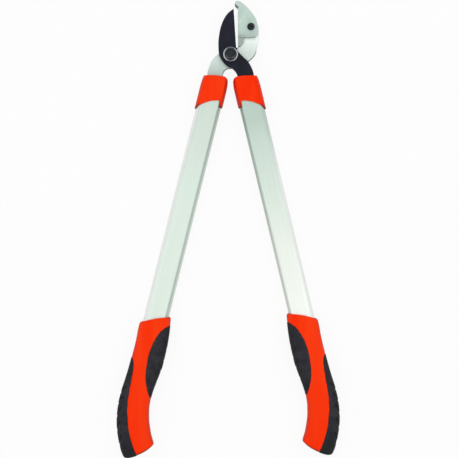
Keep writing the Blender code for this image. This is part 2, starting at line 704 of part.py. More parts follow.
def make_insert(label, side, parent, rivets, slot):
    """Make the block that wedges the tang in the tube."""
    outline = tube_outline(side, -TUBE_WALL - FIT_GAP)
    name = f"{label}_tang_insert"
    mesh = prism_mesh(name, [outline], INSERT_END - TUBE_START)
    place, turn = along_handle(TUBE_START, INSERT_END)
    insert = add_piece(name, mesh, parent, GREY_NYLON, place, turn)
    cut(insert, rivets)
    cut(insert, slot)


def make_rivets(label, side, parent):
    reach = TUBE_DEPTH / 2
    for place, u in zip(("upper", "lower"), RIVET_PLACES):
        name = f"{label}_{place}_rivet"
        mesh = cylinder_mesh(name, RIVET_RADIUS, -reach, reach, steps=SMALL_ROUND_STEPS)
        add_piece(name, mesh, parent, BRIGHT_STEEL, (u, side * RIVET_V, 0))


def ferrule_silhouette(side):
    """Return the ferrule's outline from the front: a slanted top, a scalloped lower edge."""
    points = millimetres([
        (37.9, 30, CORNER), (37.1, 17.5, CORNER), (32.4, -10.8, ROUND), (33.1, -14.8, ROUND),
        (36, -17.5, CORNER), (42, -30, CORNER), (72.4, -30, CORNER), (76.3, -14.4, CORNER),
        (68.4, -14.2, ROUND), (67.3, -12.6, ROUND), (70.4, -1.3, ROUND), (76.4, 8.8, ROUND),
        (81.8, 15.9, CORNER), (84.7, 17, CORNER), (88, 30, CORNER)])
    return [(u, side * v, kind) for u, v, kind in points]


def make_ferrule(label, side, parent, slot):
    """Make the collar over the top of the tube, closed at the top round the tang."""
    rings = []
    for u, wall in FERRULE_SECTIONS:
        outline = tube_outline(side, FIT_GAP + wall * MM)
        rings.append([(u * MM, v, z) for v, z, _ in outline])
    name = f"{label}_ferrule"
    ferrule = add_piece(name, loft_mesh(name, rings), parent, ORANGE_PLASTIC)
    silhouette = prism_mesh(f"{name}_guide", [ferrule_silhouette(side)], 2 * TUBE_DEPTH)
    combine(ferrule, add_cutter(f"{name}_guide", silhouette, parent), "INTERSECT")
    bore_start = TUBE_START - FIT_GAP
    bore_end = FERRULE_SECTIONS[-1][0] * MM + OVERSHOOT
    bore = prism_mesh(f"{name}_bore_cutter", [tube_outline(side, FIT_GAP)], bore_end - bore_start)
    place, turn = along_handle(bore_start, bore_end)
    cut(ferrule, add_cutter(f"{name}_bore_cutter", bore, parent, place, turn))
    cut(ferrule, slot)


def grip_start(side):
    return tube_end(side) - GRIP_SOCKET_DEPTH


def grip_place(side, along):
    """Return a point of the grip's centre line, its heading and its outward side."""
    angle = max(0, along - GRIP_STRAIGHT) / GRIP_BEND_RADIUS
    u = grip_start(side) + min(along, GRIP_STRAIGHT) + GRIP_BEND_RADIUS * math.sin(angle)
    v = -GRIP_BEND_RADIUS * (1 - math.cos(angle))
    heading = Vector((math.cos(angle), -math.sin(angle)))
    outwards = Vector((math.sin(angle), math.cos(angle)))
    return Vector((u, v)), heading, outwards


def grip_ring(side, section, growth, flat):
    """Return a ring of the grip, grown outwards, and cut flat at its front and back if asked."""
    along, inner_wall, outer_wall, drop = [value * MM for value in section]
    inner = TUBE_WIDTH / 2 + inner_wall + growth
    outer = TUBE_WIDTH / 2 + outer_wall + growth
    depth = PLANE_HEIGHT + GRIP_CROWN - drop + growth
    along += growth * section[0] / GRIP_SECTIONS[-1][0]
    centre, heading, outwards = grip_place(side, along)
    fade = max(0, 1 - along / GRIP_LEAN_FADE)
    end_fade = max(0, 1 - (GRIP_SECTIONS[-1][0] * MM - along) / GRIP_END_FADE)
    lean = math.tan(GRIP_RIM_LEAN)
    power = 2 / GRIP_SQUARENESS
    ring = []
    for step in range(GRIP_RING_STEPS):
        angle = 2 * math.pi * step / GRIP_RING_STEPS
        cosine = math.cos(angle)
        sine = math.sin(angle)
        half = outer if cosine > 0 else inner
        w = half * math.copysign(abs(cosine) ** power, cosine)
        z = depth * math.copysign(abs(sine) ** power, sine)
        if flat:
            z = max(-PLANE_HEIGHT, min(PLANE_HEIGHT, z))
        slant = fade * (w * lean + w * w / (2 * GRIP_RIM_RADIUS) - GRIP_RIM_RISE)
        slant += end_fade * (GRIP_END_RISE
                             - (w - GRIP_END_MIDDLE) ** 2 / (2 * GRIP_END_RADIUS))
        point = centre + outwards * w + heading * slant
        ring.append((point.x, side * point.y, z))
    return ring


def grip_mesh(name, side, growth, flat=True):
    rings = [grip_ring(side, section, growth, flat) for section in GRIP_SECTIONS]
    return loft_mesh(name, rings, strip_caps=True)


def pad_outline(pad):
    """Return a pad's clockwise outline from the front, drawn well past the side of the grip.

    Its first coordinate starts at the grip's rim.
    """
    if pad == "inner":
        return millimetres([
            (-0.2, -27, ROUND), (3.9, -19.6, ROUND), (7.9, -15.4, ROUND), (14.8, -10.7, ROUND),
            (25.8, -6.6, ROUND), (37.5, -3.9, ROUND), (50.2, -2.8, ROUND), (66.2, -3.8, ROUND),
            (81.8, -6.7, ROUND), (95.4, -12, ROUND), (106.3, -18.2, ROUND), (113, -24, ROUND),
            (118, -45, CORNER), (-4, -45, CORNER)])
    return millimetres([
        (220, -38, CORNER), (188.4, -18, ROUND), (171, -7.2, ROUND), (151.8, 1.4, ROUND),
        (131.9, 7.5, ROUND), (111.1, 10.8, ROUND), (89.9, 12.2, ROUND), (72, 13.6, ROUND),
        (64, 15.2, ROUND), (60.2, 18.4, ROUND), (56.5, 27, ROUND), (50, 60, CORNER),
        (220, 60, CORNER)])


def pad_region(name, pad, side, gap, parent):
    """Make the guide that bounds a pad, or its pocket, from the front."""
    outline = [(u, side * v, kind) for u, v, kind in grown(pad_outline(pad), gap)]
    mesh = prism_mesh(name, [outline], 4 * PLANE_HEIGHT)
    return add_cutter(name, mesh, parent, (grip_start(side), 0, 0))


def make_grip(label, side, parent):
    """Make the grip's body with its two pads in pockets of their own shape."""
    name = f"{label}_grip_body"
    body = add_piece(name, grip_mesh(name, side, 0), parent, ORANGE_PLASTIC)
    pad_floor = grip_mesh(f"{label}_pad_floor_cutter", side, -PAD_DEPTH)
    pad_floor = add_cutter(f"{label}_pad_floor_cutter", pad_floor, parent)
    pocket_floor = grip_mesh(f"{label}_pocket_floor_cutter", side, -PAD_DEPTH - FIT_GAP)
    pocket_floor = add_cutter(f"{label}_pocket_floor_cutter", pocket_floor, parent)
    for pad in ("inner", "outer"):
        pad_name = f"{label}_grip_{pad}_pad"
        region = pad_region(f"{pad_name}_guide", pad, side, 0, parent)
        piece = add_piece(pad_name, grip_mesh(pad_name, side, PAD_RAISE), parent, BLACK_RUBBER)
        combine(piece, region, "INTERSECT")
        cut(piece, pad_floor)

        pocket_name = f"{pad_name}_pocket_cutter"
        pocket_mesh = grip_mesh(pocket_name, side, OVERSHOOT, flat=False)
        pocket = add_cutter(pocket_name, pocket_mesh, parent)
        pocket_region = pad_region(f"{pocket_name}_guide", pad, side, FIT_GAP, parent)
        combine(pocket, pocket_region, "INTERSECT")
        cut(pocket, pocket_floor)
        cut(body, pocket)

    bore_start = grip_start(side) - TUBE_WIDTH
    bore_end = grip_start(side) + GRIP_SOCKET_DEPTH + FIT_GAP
    bore = prism_mesh(f"{name}_bore_cutter", [tube_outline(side, FIT_GAP)], bore_end - bore_start)
    place, turn = along_handle(bore_start, bore_end)
    cut(body, add_cutter(f"{name}_bore_cutter", bore, parent, place, turn))


def make_handle(label, side, parent, tang_low, tang_high):
    frame = handle_frame(f"{label}_handle_frame", side, parent)
    rivets = rivet_cutter(f"{label}_rivet_cutter", side, frame)
    slot = tang_slot(label, side, frame, tang_low, tang_high)
    make_tube(label, side, frame, rivets)
    make_insert(label, side, frame, rivets, slot)
    make_rivets(label, side, frame)
    make_ferrule(label, side, frame, slot)
    make_grip(label, side, frame)


clear_scene()
PIECES = new_collection("anvil_lopper")
CUTTERS = new_collection("cutters")
anvil_side_frame = add_frame("anvil_side_frame", None, (0, 0, PLANE_HEIGHT), 0)
blade_side_frame = add_frame("blade_side_frame", None, (0, 0, PLANE_HEIGHT), 0)
make_blade(blade_side_frame)
make_anvil_arm(anvil_side_frame)
make_anvil(anvil_side_frame)
make_anvil_screw(anvil_side_frame)
make_pivot(anvil_side_frame, blade_side_frame)
make_handle("left", LEFT, anvil_side_frame, ARM_LOW, ARM_HIGH)
make_handle("right", RIGHT, blade_side_frame, BLADE_LOW, BLADE_HIGH)
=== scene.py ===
"""Looks of the anvil lopper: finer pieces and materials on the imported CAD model.

Frame: metres, +Z up, the pivot's axis through the origin, the tips of the jaws towards +Y and the
anvil towards +X. The pieces of a handle are built in that handle's own frame: x runs down the
handle, y across it, and z up from the plane of both handles.
"""
import math

import bmesh
import bpy
from mathutils import Matrix, Vector


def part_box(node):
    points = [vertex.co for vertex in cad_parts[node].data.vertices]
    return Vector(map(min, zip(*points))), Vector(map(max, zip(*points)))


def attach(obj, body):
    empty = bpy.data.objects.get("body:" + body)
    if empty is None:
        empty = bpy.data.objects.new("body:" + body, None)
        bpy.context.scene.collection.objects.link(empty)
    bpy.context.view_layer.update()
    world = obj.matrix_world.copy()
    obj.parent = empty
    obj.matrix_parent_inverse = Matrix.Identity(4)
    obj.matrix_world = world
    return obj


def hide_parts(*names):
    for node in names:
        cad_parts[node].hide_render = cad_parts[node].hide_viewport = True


MM = 0.001
RIGHT = 1
LEFT = -1
SIDES = {"left": LEFT, "right": RIGHT}
BODIES = {LEFT: "anvil_side", RIGHT: "blade_side"}

# Places and sizes of the CAD model
FIT_GAP = 0.3 * MM
PLANE_HEIGHT = 14.15 * MM
JAW_OPENING = math.radians(3.7)
EDGE_OFFSET = 10.1 * MM
EDGE_START = 9.2 * MM
BEVEL_WIDTH = 1.7 * MM
HANDLE_ANGLE = {RIGHT: math.radians(13.4), LEFT: math.radians(14)}
HANDLE_OFFSET = 12 * MM
TUBE_WIDTH = 34 * MM
TUBE_DEPTH = 18 * MM
TUBE_ROUND = 9 * MM
TUBE_FACET_WIDTH = 4 * MM
TUBE_SIDE_DEPTH = 5 * MM
TUBE_WALL = 1.5 * MM
TUBE_START = 44.5 * MM
TUBE_END = {RIGHT: 497.5 * MM, LEFT: 503.6 * MM}
GRIP_SOCKET_DEPTH = 118 * MM
GRIP_STRAIGHT = 119 * MM
GRIP_BEND_RADIUS = 98 * MM
GRIP_CROWN = 0.65 * MM
GRIP_RIM_LEAN = math.radians(23)
GRIP_RIM_RADIUS = 100 * MM
GRIP_RIM_RISE = 2.1 * MM
GRIP_LEAN_FADE = 45 * MM
GRIP_END_RADIUS = 100 * MM
GRIP_END_RISE = 1.9 * MM
GRIP_END_MIDDLE = -3 * MM
GRIP_END_FADE = 30 * MM
GRIP_POWER = 2 / 2.6

# Tube: fillet between its facets, broken edge at its ends, and steps round its section, first of
# the round side and then of the five flat stretches
TUBE_FILLET = 1.6 * MM
TUBE_RIM = 0.3 * MM
TUBE_ROUND_STEPS = 24
TUBE_FLAT_STEPS = (14, 6, 4, 6, 14)
FILLET_SHARES = (0.25, 0.5, 0.75)

# Ferrule: distance down the handle, and the wall over the tube there, in millimetres
FERRULE_SECTIONS = ((30, -1), (35, -0.3), (37, 0.1), (40, 0.6), (44, 1.1), (53, 1.5), (88, 1.5))
FERRULE_WALL = 1.2 * MM
FERRULE_FILLET = 2 * MM
FERRULE_STEPS = 24

# Distance across the handle, and the ferrule's upper and lower edge down it, in millimetres
FERRULE_TOP_EDGE = (
    (-20, 41), (-18.5, 36.4), (-17.8, 34.4), (-16.5, 33.1), (-12.1, 32.4), (18.7, 37.1),
    (20, 37.4))
FERRULE_LOW_EDGE = (
    (-19, 75.8), (-15.5, 76.4), (-14.8, 75.6), (-14.1, 69.6), (-12.6, 67.3), (-1.3, 70.4),
    (8.8, 76.4), (15.9, 81.8), (17, 84.2), (19, 86.2))

# Distance from the ferrule's edge, and growth of its surface there, in millimetres
FERRULE_TOP_RIM = ((0, -2.6), (0.05, -1.1), (0.35, -0.35), (1, -0.02))
FERRULE_LOW_RIM = ((0.5, -0.05), (0.12, -0.3), (0, -0.75))
FERRULE_RIM_WIDTH = 1.4 * MM

# Distance from the tube's axis at which a lobe of the ferrule starts, and over which it becomes
# full, in millimetres
OUTER_LOBE = (11.5, 4)
INNER_LOBE = (13.5, 1.5)

# The tang's slot in the ferrule's top
SLOT_MIDDLE = 1.6 * MM
SLOT_HEIGHT = 3.05 * MM
SLOT_HALF_WIDTH = 11.7 * MM
SLOT_HALF_DEPTH = 2.8 * MM
SLOT_REACH = 6 * MM
SLOT_POWER = 0.35

# Grip: distance from the rim, walls over the tube on the inner and outer side, and drop of the
# crown, in millimetres
GRIP_SECTIONS = (
    (0, 1.0, 2.4, 3.1), (0.8, 2.3, 3.4, 2.5), (2, 3.2, 3.9, 2.0), (12, 4.9, 3.9, 1.0),
    (24, 6.6, 3.3, 0.4), (40, 7.8, 2.9, 0), (60, 7.9, 3.1, 0), (72, 6.7, 3.4, 0),
    (84, 5.2, 3.9, 0), (96, 3.7, 4.7, 0), (107, 3.1, 5.5, 0), (119, 3.8, 5.6, 0),
    (133, 5.0, 5.5, 0), (146, 5.5, 5.9, 0), (160, 5.7, 6.4, 0), (172, 5.1, 7.1, 0.2),
    (181, 4.6, 8.0, 1.0), (186, 4.1, 8.1, 2.0), (188.8, 3.0, 7.2, 3.2), (190, -2.5, 4.6, 4.5),
)
GRIP_LENGTH = GRIP_SECTIONS[-1][0] * MM
GRIP_COLUMNS = 72
GRIP_ROWS = 130
GRIP_MOUTH_INSET = 0.9 * MM
GRIP_MOUTH_DEPTH = 1 * MM

# Distance from the rim, and the pad's edge across the grip, in millimetres
INNER_PAD_EDGE = (
    (9.6, -22.6), (11.2, -19.6), (13.6, -15.4), (18.6, -10.7), (27.6, -6.6), (38, -3.9),
    (50.2, -3.0), (66.2, -4.0), (81.8, -6.7), (95.4, -12), (106.3, -18.2), (109, -20.6))
OUTER_PAD_EDGE = (
    (58, 20.6), (59.9, 18.2), (63.8, 15.3), (73.8, 13.2), (89.9, 11.9), (111.1, 10.6),
    (130, 8.1), (148.9, 6.1), (168.4, 5.7), (190, 6.3))

# Relief of the grip's body: pockets under the pads, and a valley between them that fades out
# towards the grip's ends
PAD_POCKET = 1.5 * MM
GRIP_SINK = 0.7 * MM
GRIP_SINK_WIDTH = 6 * MM
GRIP_SINK_FADE = 8 * MM

# Pads: growth of the face, the border's root and the back over the grip, and of the columns at
# the border; shares of a pad's reach round the grip at all columns from the border inwards; and
# the reach below which a pad tapers off
PAD_RAISE = 0.35 * MM
PAD_ROOT = -1.0 * MM
PAD_BACK = -1.3 * MM
PAD_PROFILE = (PAD_ROOT, -0.05 * MM, 0.6 * PAD_RAISE, 0.92 * PAD_RAISE)
PAD_COLUMNS = (1, 1, 0.988, 0.965, 0.93, *(0.88 - 0.05 * step for step in range(17)), 0.04)
PAD_ROWS = 230
PAD_TAPER_REACH = math.radians(25)

# Chevron grooves of the pads: depth, and the places down the grip
INNER_GROOVES = (0.6 * MM, [place * MM for place in (39, 54, 69, 84)])
OUTER_GROOVES = (1.2 * MM, [place * MM for place in (112, 127, 141, 157, 174.5)])
GROOVE_WIDTH = 3.2 * MM
GROOVE_SLANT = 14 * MM
GROOVE_REACH = math.radians(50)
GROOVE_FADE = 0.15 * GROOVE_REACH
# Painted shade in the pads' grooves
GROOVE_SHADE_TONE = (2, 2, 3)

# Painted shade round the end of a grip and at the tips of a ferrule's lobes
END_BAND = 2.4 * MM
END_BAND_FADE = 0.7 * END_BAND
TIP_BAND = 4 * MM
RIM_SHADE_TONE = (115, 22, 10)

# Distance down the handle in millimetres, and the tube's tone there: its own colour with painted
# light in it
TUBE_TONES_AND_PAINTED_LIGHT = {
    LEFT: ((92, (196, 209, 199)), (130, (200, 213, 204)), (200, (206, 220, 210)),
           (360, (210, 222, 212))),
    RIGHT: ((95, (175, 193, 183)), (130, (190, 205, 196)), (200, (203, 216, 206)),
            (280, (222, 228, 219)), (360, (231, 236, 229))),
}

# Painted highlight on the outer flank of a tube: distances outwards from the axis over which it
# sets in, its share under the ferrule, and the places down the handle over which that becomes full
OUTER_FLANK = (11.5 * MM, 14.5 * MM)
OUTER_FLANK_HIGHLIGHT = (236, 240, 237)
FLANK_START = {LEFT: 1.0, RIGHT: 0.2}
FLANK_SPAN = (105 * MM, 190 * MM)

# Painted shade on the inner flank of a tube: distances inwards from the axis between which it lies
INNER_FLANK = {LEFT: (11.9 * MM, 14.8 * MM), RIGHT: (14.2 * MM, 16.6 * MM)}
FLANK_BLUR = 0.4 * MM
INNER_FLANK_SHADE_SHARE = 0.4

# Pivot hardware: sizes, and outlines as radius and level in millimetres
RING_POINTS = 96
CHAMFER_SLOPE = math.tan(math.radians(30))
NUT_FLATS = 15 * MM
NUT_CONE = 7.35 * MM
NUT_FLANGE = ((5.3, 0), (8.4, 0), (8.6, 0.2), (8.6, 1.1), (8.45, 1.4))
NUT_FLANGE_HEIGHT = NUT_FLANGE[-1][1] * MM
NUT_MOUTH = ((5.9, 0), (5.3, -0.5))
WASHER_RIM = ((5.3, 0), (10.1, 0), (10.3, 0.25))
WASHER_FACE = ((10.3, -0.35), (10.2, -0.12), (9.95, 0), (5.6, 0), (5.3, -0.3))
BOLT_HEAD_FLATS = 16 * MM
BOLT_HEAD_CONE = 7.8 * MM
BOLT_HEAD_FACE = ((0, 0.4), (5, 0.4), (6.6, 0))
BOLT_NECK = ((5.3, 0), (5, 0.3))
BOLT_END = ((4.2, 0), (0, 0))
BOLT_RADIUS = 5 * MM
BORE_RADIUS = BOLT_RADIUS + FIT_GAP
THREAD_ROOT = 4.6 * MM
THREAD_PITCH = 0.5 * MM
THREAD_START = 1 * MM
THREAD_END = 0.9 * MM

# Anvil's screw: sizes, and outlines as radius and level in millimetres
SOCKET_FLATS = 4 * MM
SOCKET_DEPTH = 2 * MM
SOCKET_CONE = 0.2 * MM
SOCKET_CHAMFER = 0.25 * MM
SOCKET_MOUTH_RADIUS = 2.45 * MM
SCREW_HEAD_RADIUS = 5.25 * MM
SCREW_HEAD_SIDE = 0.5 * MM
SCREW_HEAD_POWER = 0.9
SCREW_HEAD_STEPS = 8
SCREW_NECK = ((5.25, 0.2), (5.05, 0), (3, 0))
SCREW_END = ((3, 0.3), (2.7, 0), (0, 0))

# View, with the picture's scale at the focus height
PICTURE_SCALE = 1.4 * MM
PICTURE_SIZE = 458
PICTURE_CENTRE = (-2.24 * MM, -244.3 * MM)
FOCUS_HEIGHT = 17 * MM
CAMERA_DISTANCE = 1.6
CLIP_END = 20

# Lamps: name, place from the picture's centre, size and power
LAMPS = (
    ("overhead_softbox", (0, 0.3, 2.0), (3.6, 3.6), 24),
    ("left_softbox", (-1.5, 0.1, 1.3), (0.7, 1.6), 3.5),
    ("right_softbox", (1.5, 0.1, 1.3), (0.7, 1.6), 3.5),
)
WHITE = (1, 1, 1, 1)
WORLD_LIGHT = 0.55
FLOOR_REACH = 6.0
FLOOR_COLOUR = (0.9, 0.9, 0.9, 1)
FLOOR_GLOW = 0.9

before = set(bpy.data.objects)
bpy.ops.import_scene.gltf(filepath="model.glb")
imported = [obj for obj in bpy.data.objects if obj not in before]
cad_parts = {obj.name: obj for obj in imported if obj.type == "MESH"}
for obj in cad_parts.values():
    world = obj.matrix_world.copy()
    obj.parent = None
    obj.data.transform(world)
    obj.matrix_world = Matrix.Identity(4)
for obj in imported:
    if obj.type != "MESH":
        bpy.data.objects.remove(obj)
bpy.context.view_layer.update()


def srgb(red, green, blue):
    """Turn a colour written as 0 to 255 into the linear colour that shaders take."""
    linear = []
    for value in (red, green, blue):
        share = value / 255
        linear.append(share / 12.92 if share <= 0.04045 else ((share + 0.055) / 1.055) ** 2.4)
    return (*linear, 1)


def monotone(table, place, column=1):
    """Interpolate a column of a table smoothly, without overshooting between its rows."""
    if place <= table[0][0]:
        return table[0][column]
    if place >= table[-1][0]:
        return table[-1][column]
    index = max(i for i, row in enumerate(table) if row[0] <= place)
    slopes = [(b[column] - a[column]) / (b[0] - a[0]) for a, b in zip(table, table[1:])]

    def tangent(i):
        if i == 0 or i == len(table) - 1:
            return slopes[min(i, len(slopes) - 1)]
        before, after = slopes[i - 1], slopes[i]
        return 2 * before * after / (before + after) if before * after > 0 else 0

    low, high = table[index], table[index + 1]
    width = high[0] - low[0]
    t = (place - low[0]) / width
    return ((1 + 2 * t) * (1 - t) ** 2 * low[column] + t * (1 - t) ** 2 * width * tangent(index)
            + t * t * (3 - 2 * t) * high[column] - t * t * (1 - t) * width * tangent(index + 1))


def ease(value):
    """Return a smooth step from 0 to 1."""
    value = min(1, max(0, value))
    return value * value * (3 - 2 * value)


def signed_power(value, power):
    """Raise a value's size to a power and keep its sign."""
    return math.copysign(abs(value) ** power, value)


# Shader nodes

class Finish:
    """A node-based material while it is being made."""

    def __init__(self, name, roughness, metallic=0.0):
        self.material = bpy.data.materials.new(name)
        self.material.use_nodes = True
        self.tree = self.material.node_tree
        self.shader = self.tree.nodes["Principled BSDF"]
        self.set("Roughness", roughness)
        self.set("Metallic", metallic)
        self.place = self.node("ShaderNodeTexCoord").outputs["Object"]
        self.normal = None

    def node(self, kind, inputs=None, **settings):
        """Add a node; an input is either another node's output or a plain value."""
        item = self.tree.nodes.new(kind)
        for name, value in settings.items():
            setattr(item, name, value)
        for name, value in (inputs or {}).items():
            if isinstance(value, bpy.types.NodeSocket):
                self.tree.links.new(value, item.inputs[name])
            else:
                item.inputs[name].default_value = value
        return item

    def set(self, name, value):
        self.shader.inputs[name].default_value = value

    def link(self, name, value):
        self.tree.links.new(value, self.shader.inputs[name])

    def stretched(self, stretch, turn=0.0):
        """Return the object's coordinates, turned about Z and then scaled by axis."""
        turned = self.node("ShaderNodeVectorRotate", {"Vector": self.place, "Angle": turn},
                           rotation_type="Z_AXIS").outputs[0]
        return self.node("ShaderNodeVectorMath", {0: turned, 1: stretch},
                         operation="MULTIPLY").outputs[0]

    def noise(self, scale, detail=3.0, stretch=(1, 1, 1), turn=0.0):
        return self.node("ShaderNodeTexNoise", {
            "Vector": self.stretched(stretch, turn), "Scale": scale, "Detail": detail,
        }).outputs["Fac"]

    def ramp(self, value, stops):
        """Map a value to colours through (position, colour) stops."""
        item = self.node("ShaderNodeValToRGB", {0: value})
        points = item.color_ramp.elements
        while len(points) < len(stops):
            points.new(0.5)
        for point, (position, colour) in zip(points, stops):
            point.position = position
            point.color = colour
        return item.outputs[0]

    def span(self, value, low, high, start=0.0, end=1.0):
        """Map a value from one span to another, smoothly and within the ends."""
        return self.node("ShaderNodeMapRange", {0: value, 1: low, 2: high, 3: start, 4: end},
                         interpolation_type="SMOOTHSTEP").outputs[0]

    def times(self, first, second):
        return self.node("ShaderNodeMath", {0: first, 1: second}, operation="MULTIPLY").outputs[0]

    def size(self, value):
        return self.node("ShaderNodeMath", {0: value}, operation="ABSOLUTE").outputs[0]

    def mixed(self, share, first, second, blend="MIX"):
        """Mix two colours by a Mix node's colour sockets."""
        return self.node("ShaderNodeMix", {0: share, 6: first, 7: second},
                         data_type="RGBA", blend_type=blend).outputs[2]

    def axis(self, name, turn=0.0):
        """Return one of the object's coordinates after a turn about Z."""
        return self.node("ShaderNodeSeparateXYZ",
                         {0: self.stretched((1, 1, 1), turn)}).outputs[name]

    def bump(self, height, distance, strength):
        """Add relief to the relief that is there."""
        inputs = {"Height": height, "Distance": distance, "Strength": strength}
        if self.normal:
            inputs["Normal"] = self.normal
        self.normal = self.node("ShaderNodeBump", inputs).outputs[0]
        self.link("Normal", self.normal)


def worn(finish, colour, bare, width, amount):
    """Let a barer tone show in patches along the edges."""
    rounded = finish.node("ShaderNodeBevel", {"Radius": width}, samples=4).outputs[0]
    plain = finish.node("ShaderNodeNewGeometry").outputs["Normal"]
    likeness = finish.node("ShaderNodeVectorMath", {0: rounded, 1: plain},
                           operation="DOT_PRODUCT").outputs["Value"]
    edge = finish.span(likeness, 0.8, 0.98, start=amount, end=0.0)
    patches = finish.span(finish.noise(scale=350, detail=4), 0.35, 0.6)
    return finish.mixed(finish.times(edge, patches), colour, bare)


def mottled(finish, dark, light, scale, stretch=(1, 1, 1)):
    """Return a colour that wanders between two tones."""
    return finish.ramp(finish.noise(scale, 4, stretch), [(0.32, dark), (0.68, light)])


def rough_variation(finish, low, high, scale, stretch=(1, 1, 1), turn=0.0):
    """Let the roughness wander between two values."""
    value = finish.noise(scale, 3, stretch, turn)
    finish.link("Roughness", finish.span(value, 0.3, 0.7, low, high))


def upright(finish, steep, shallow):
    """Return 1 on faces that stand up from the floor and 0 on those that lie along it."""
    normal = finish.node("ShaderNodeNewGeometry").outputs["Normal"]
    rise = finish.node("ShaderNodeSeparateXYZ", {0: normal}).outputs["Z"]
    return finish.span(finish.size(rise), steep, shallow, start=1.0, end=0.0)


def sunk_share(finish):
    """Return the share of painted shade at a point, in a groove or on a rolled rim."""
    return finish.node("ShaderNodeAttribute", attribute_name="sunk").outputs["Fac"]


def orange_plastic():
    """Glossy moulding with a faint spark-eroded grain, with painted shade on its sides and rolled
    rims.
    """
    finish = Finish("orange_moulding", roughness=0.42)
    tone = mottled(finish, srgb(252, 41, 0), srgb(255, 58, 16), scale=60, stretch=(1, 0.12, 1))
    # Painted shade on the faces that stand up from the floor
    tone = finish.mixed(upright(finish, steep=0.3, shallow=0.75), tone, srgb(205, 34, 4))
    # Painted shade on the grip's end and the ferrule's lobe tips
    tone = finish.mixed(sunk_share(finish), tone, srgb(*RIM_SHADE_TONE))
    finish.link("Base Color", worn(finish, tone, srgb(232, 84, 48), width=0.5 * MM, amount=0.6))
    finish.set("Specular IOR Level", 0.25)
    finish.set("Specular Tint", (1.0, 0.35, 0.12, 1))
    rough_variation(finish, low=0.36, high=0.46, scale=240)
    finish.bump(finish.noise(scale=2600, detail=2), distance=0.04 * MM, strength=0.25)
    return finish.material


def black_rubber():
    """Soft rubber with a fine leather-like grain, darker towards the ends of the grips, with
    painted shade on its sides and in its grooves.
    """
    finish = Finish("soft_black_rubber", roughness=0.62)
    tone = mottled(finish, srgb(28, 30, 35), srgb(47, 46, 52), scale=90)
    low = finish.span(finish.axis("Y"), -555 * MM, -515 * MM, start=0.7, end=0.0)
    tone = finish.mixed(low, tone, srgb(16, 20, 21))
    # Painted shade on the faces that stand up from the floor
    tone = finish.mixed(upright(finish, steep=0.35, shallow=0.9), tone, srgb(7, 8, 9))
    tone = worn(finish, tone, srgb(58, 58, 60), width=0.5 * MM, amount=0.5)
    # Painted shade in the grooves
    tone = finish.mixed(sunk_share(finish), tone, srgb(*GROOVE_SHADE_TONE))
    finish.link("Base Color", tone)
    finish.set("Specular IOR Level", 0.15)
    rough_variation(finish, low=0.5, high=0.68, scale=300)
    cells = finish.node("ShaderNodeTexVoronoi", {"Vector": finish.place, "Scale": 900.0},
                        feature="DISTANCE_TO_EDGE").outputs["Distance"]
    finish.bump(finish.span(cells, 0.0, 0.25), distance=0.08 * MM, strength=0.5)
    finish.bump(finish.noise(scale=220), distance=0.1 * MM, strength=0.4)
    return finish.material


def anodised_tube(label, side):
    """Satin anodised aluminium with fine drawing lines; its tone down the handle holds painted
    light, with a painted highlight on the outer flank and painted shade on the inner one.
    """
    finish = Finish(f"{label}_anodised_tube", roughness=0.42, metallic=0.35)
    turn = math.pi / 2 - side * HANDLE_ANGLE[side]
    down = finish.axis("X", turn)
    across = finish.times(finish.axis("Y", turn), side)
    # The tube's own colour, with painted light that changes it down the handle
    stops = TUBE_TONES_AND_PAINTED_LIGHT[side]
    start, end = stops[0][0], stops[-1][0]
    place = finish.node("ShaderNodeMapRange", {0: down, 1: start * MM, 2: end * MM}).outputs[0]
    tone = finish.ramp(place, [((at - start) / (end - start), srgb(*shade)) for at, shade in stops])
    # Painted highlight on the outer flank
    pale = finish.span(across, *[HANDLE_OFFSET + distance for distance in OUTER_FLANK])
    full = finish.span(down, *FLANK_SPAN, start=FLANK_START[side], end=1.0)
    tone = finish.mixed(finish.times(pale, full), tone, srgb(*OUTER_FLANK_HIGHLIGHT))
    # Painted shade on the inner flank
    inner, outer = [HANDLE_OFFSET - distance for distance in INNER_FLANK[side]]
    before = finish.span(across, inner - FLANK_BLUR, inner + FLANK_BLUR, 1.0, 0.0)
    after = finish.span(across, outer - FLANK_BLUR, outer + FLANK_BLUR)
    inner_flank_shade = finish.times(finish.times(before, after), INNER_FLANK_SHADE_SHARE)
    tone = finish.mixed(inner_flank_shade, tone, srgb(150, 168, 158), "MULTIPLY")
    lines = finish.noise(900, 2, (0.02, 1, 1), turn)
    tone = finish.mixed(finish.span(lines, 0.3, 0.7, end=0.08), tone, srgb(150, 165, 158))
    finish.link("Base Color", worn(finish, tone, srgb(244, 246, 245), width=0.4 * MM, amount=0.7))
    rough_variation(finish, 0.38, 0.48, 500, (0.02, 1, 1), turn)
    finish.bump(lines, distance=0.03 * MM, strength=0.3)
    return finish.material


def painted_edge_shade(finish):
    """Return the share of painted shade near a cut edge: most low down and on the blade's side."""
    rounded = finish.node("ShaderNodeBevel", {"Radius": 2.2 * MM}, samples=8).outputs[0]
    facing = finish.node("ShaderNodeVectorMath", {0: rounded, 1: (0.75, -0.66, 0)},
                         operation="DOT_PRODUCT").outputs["Value"]
    low = finish.span(finish.axis("Y"), 1 * MM, 9 * MM, start=1.0, end=0.2)
    return finish.times(finish.span(facing, 0.1, 0.3), low)


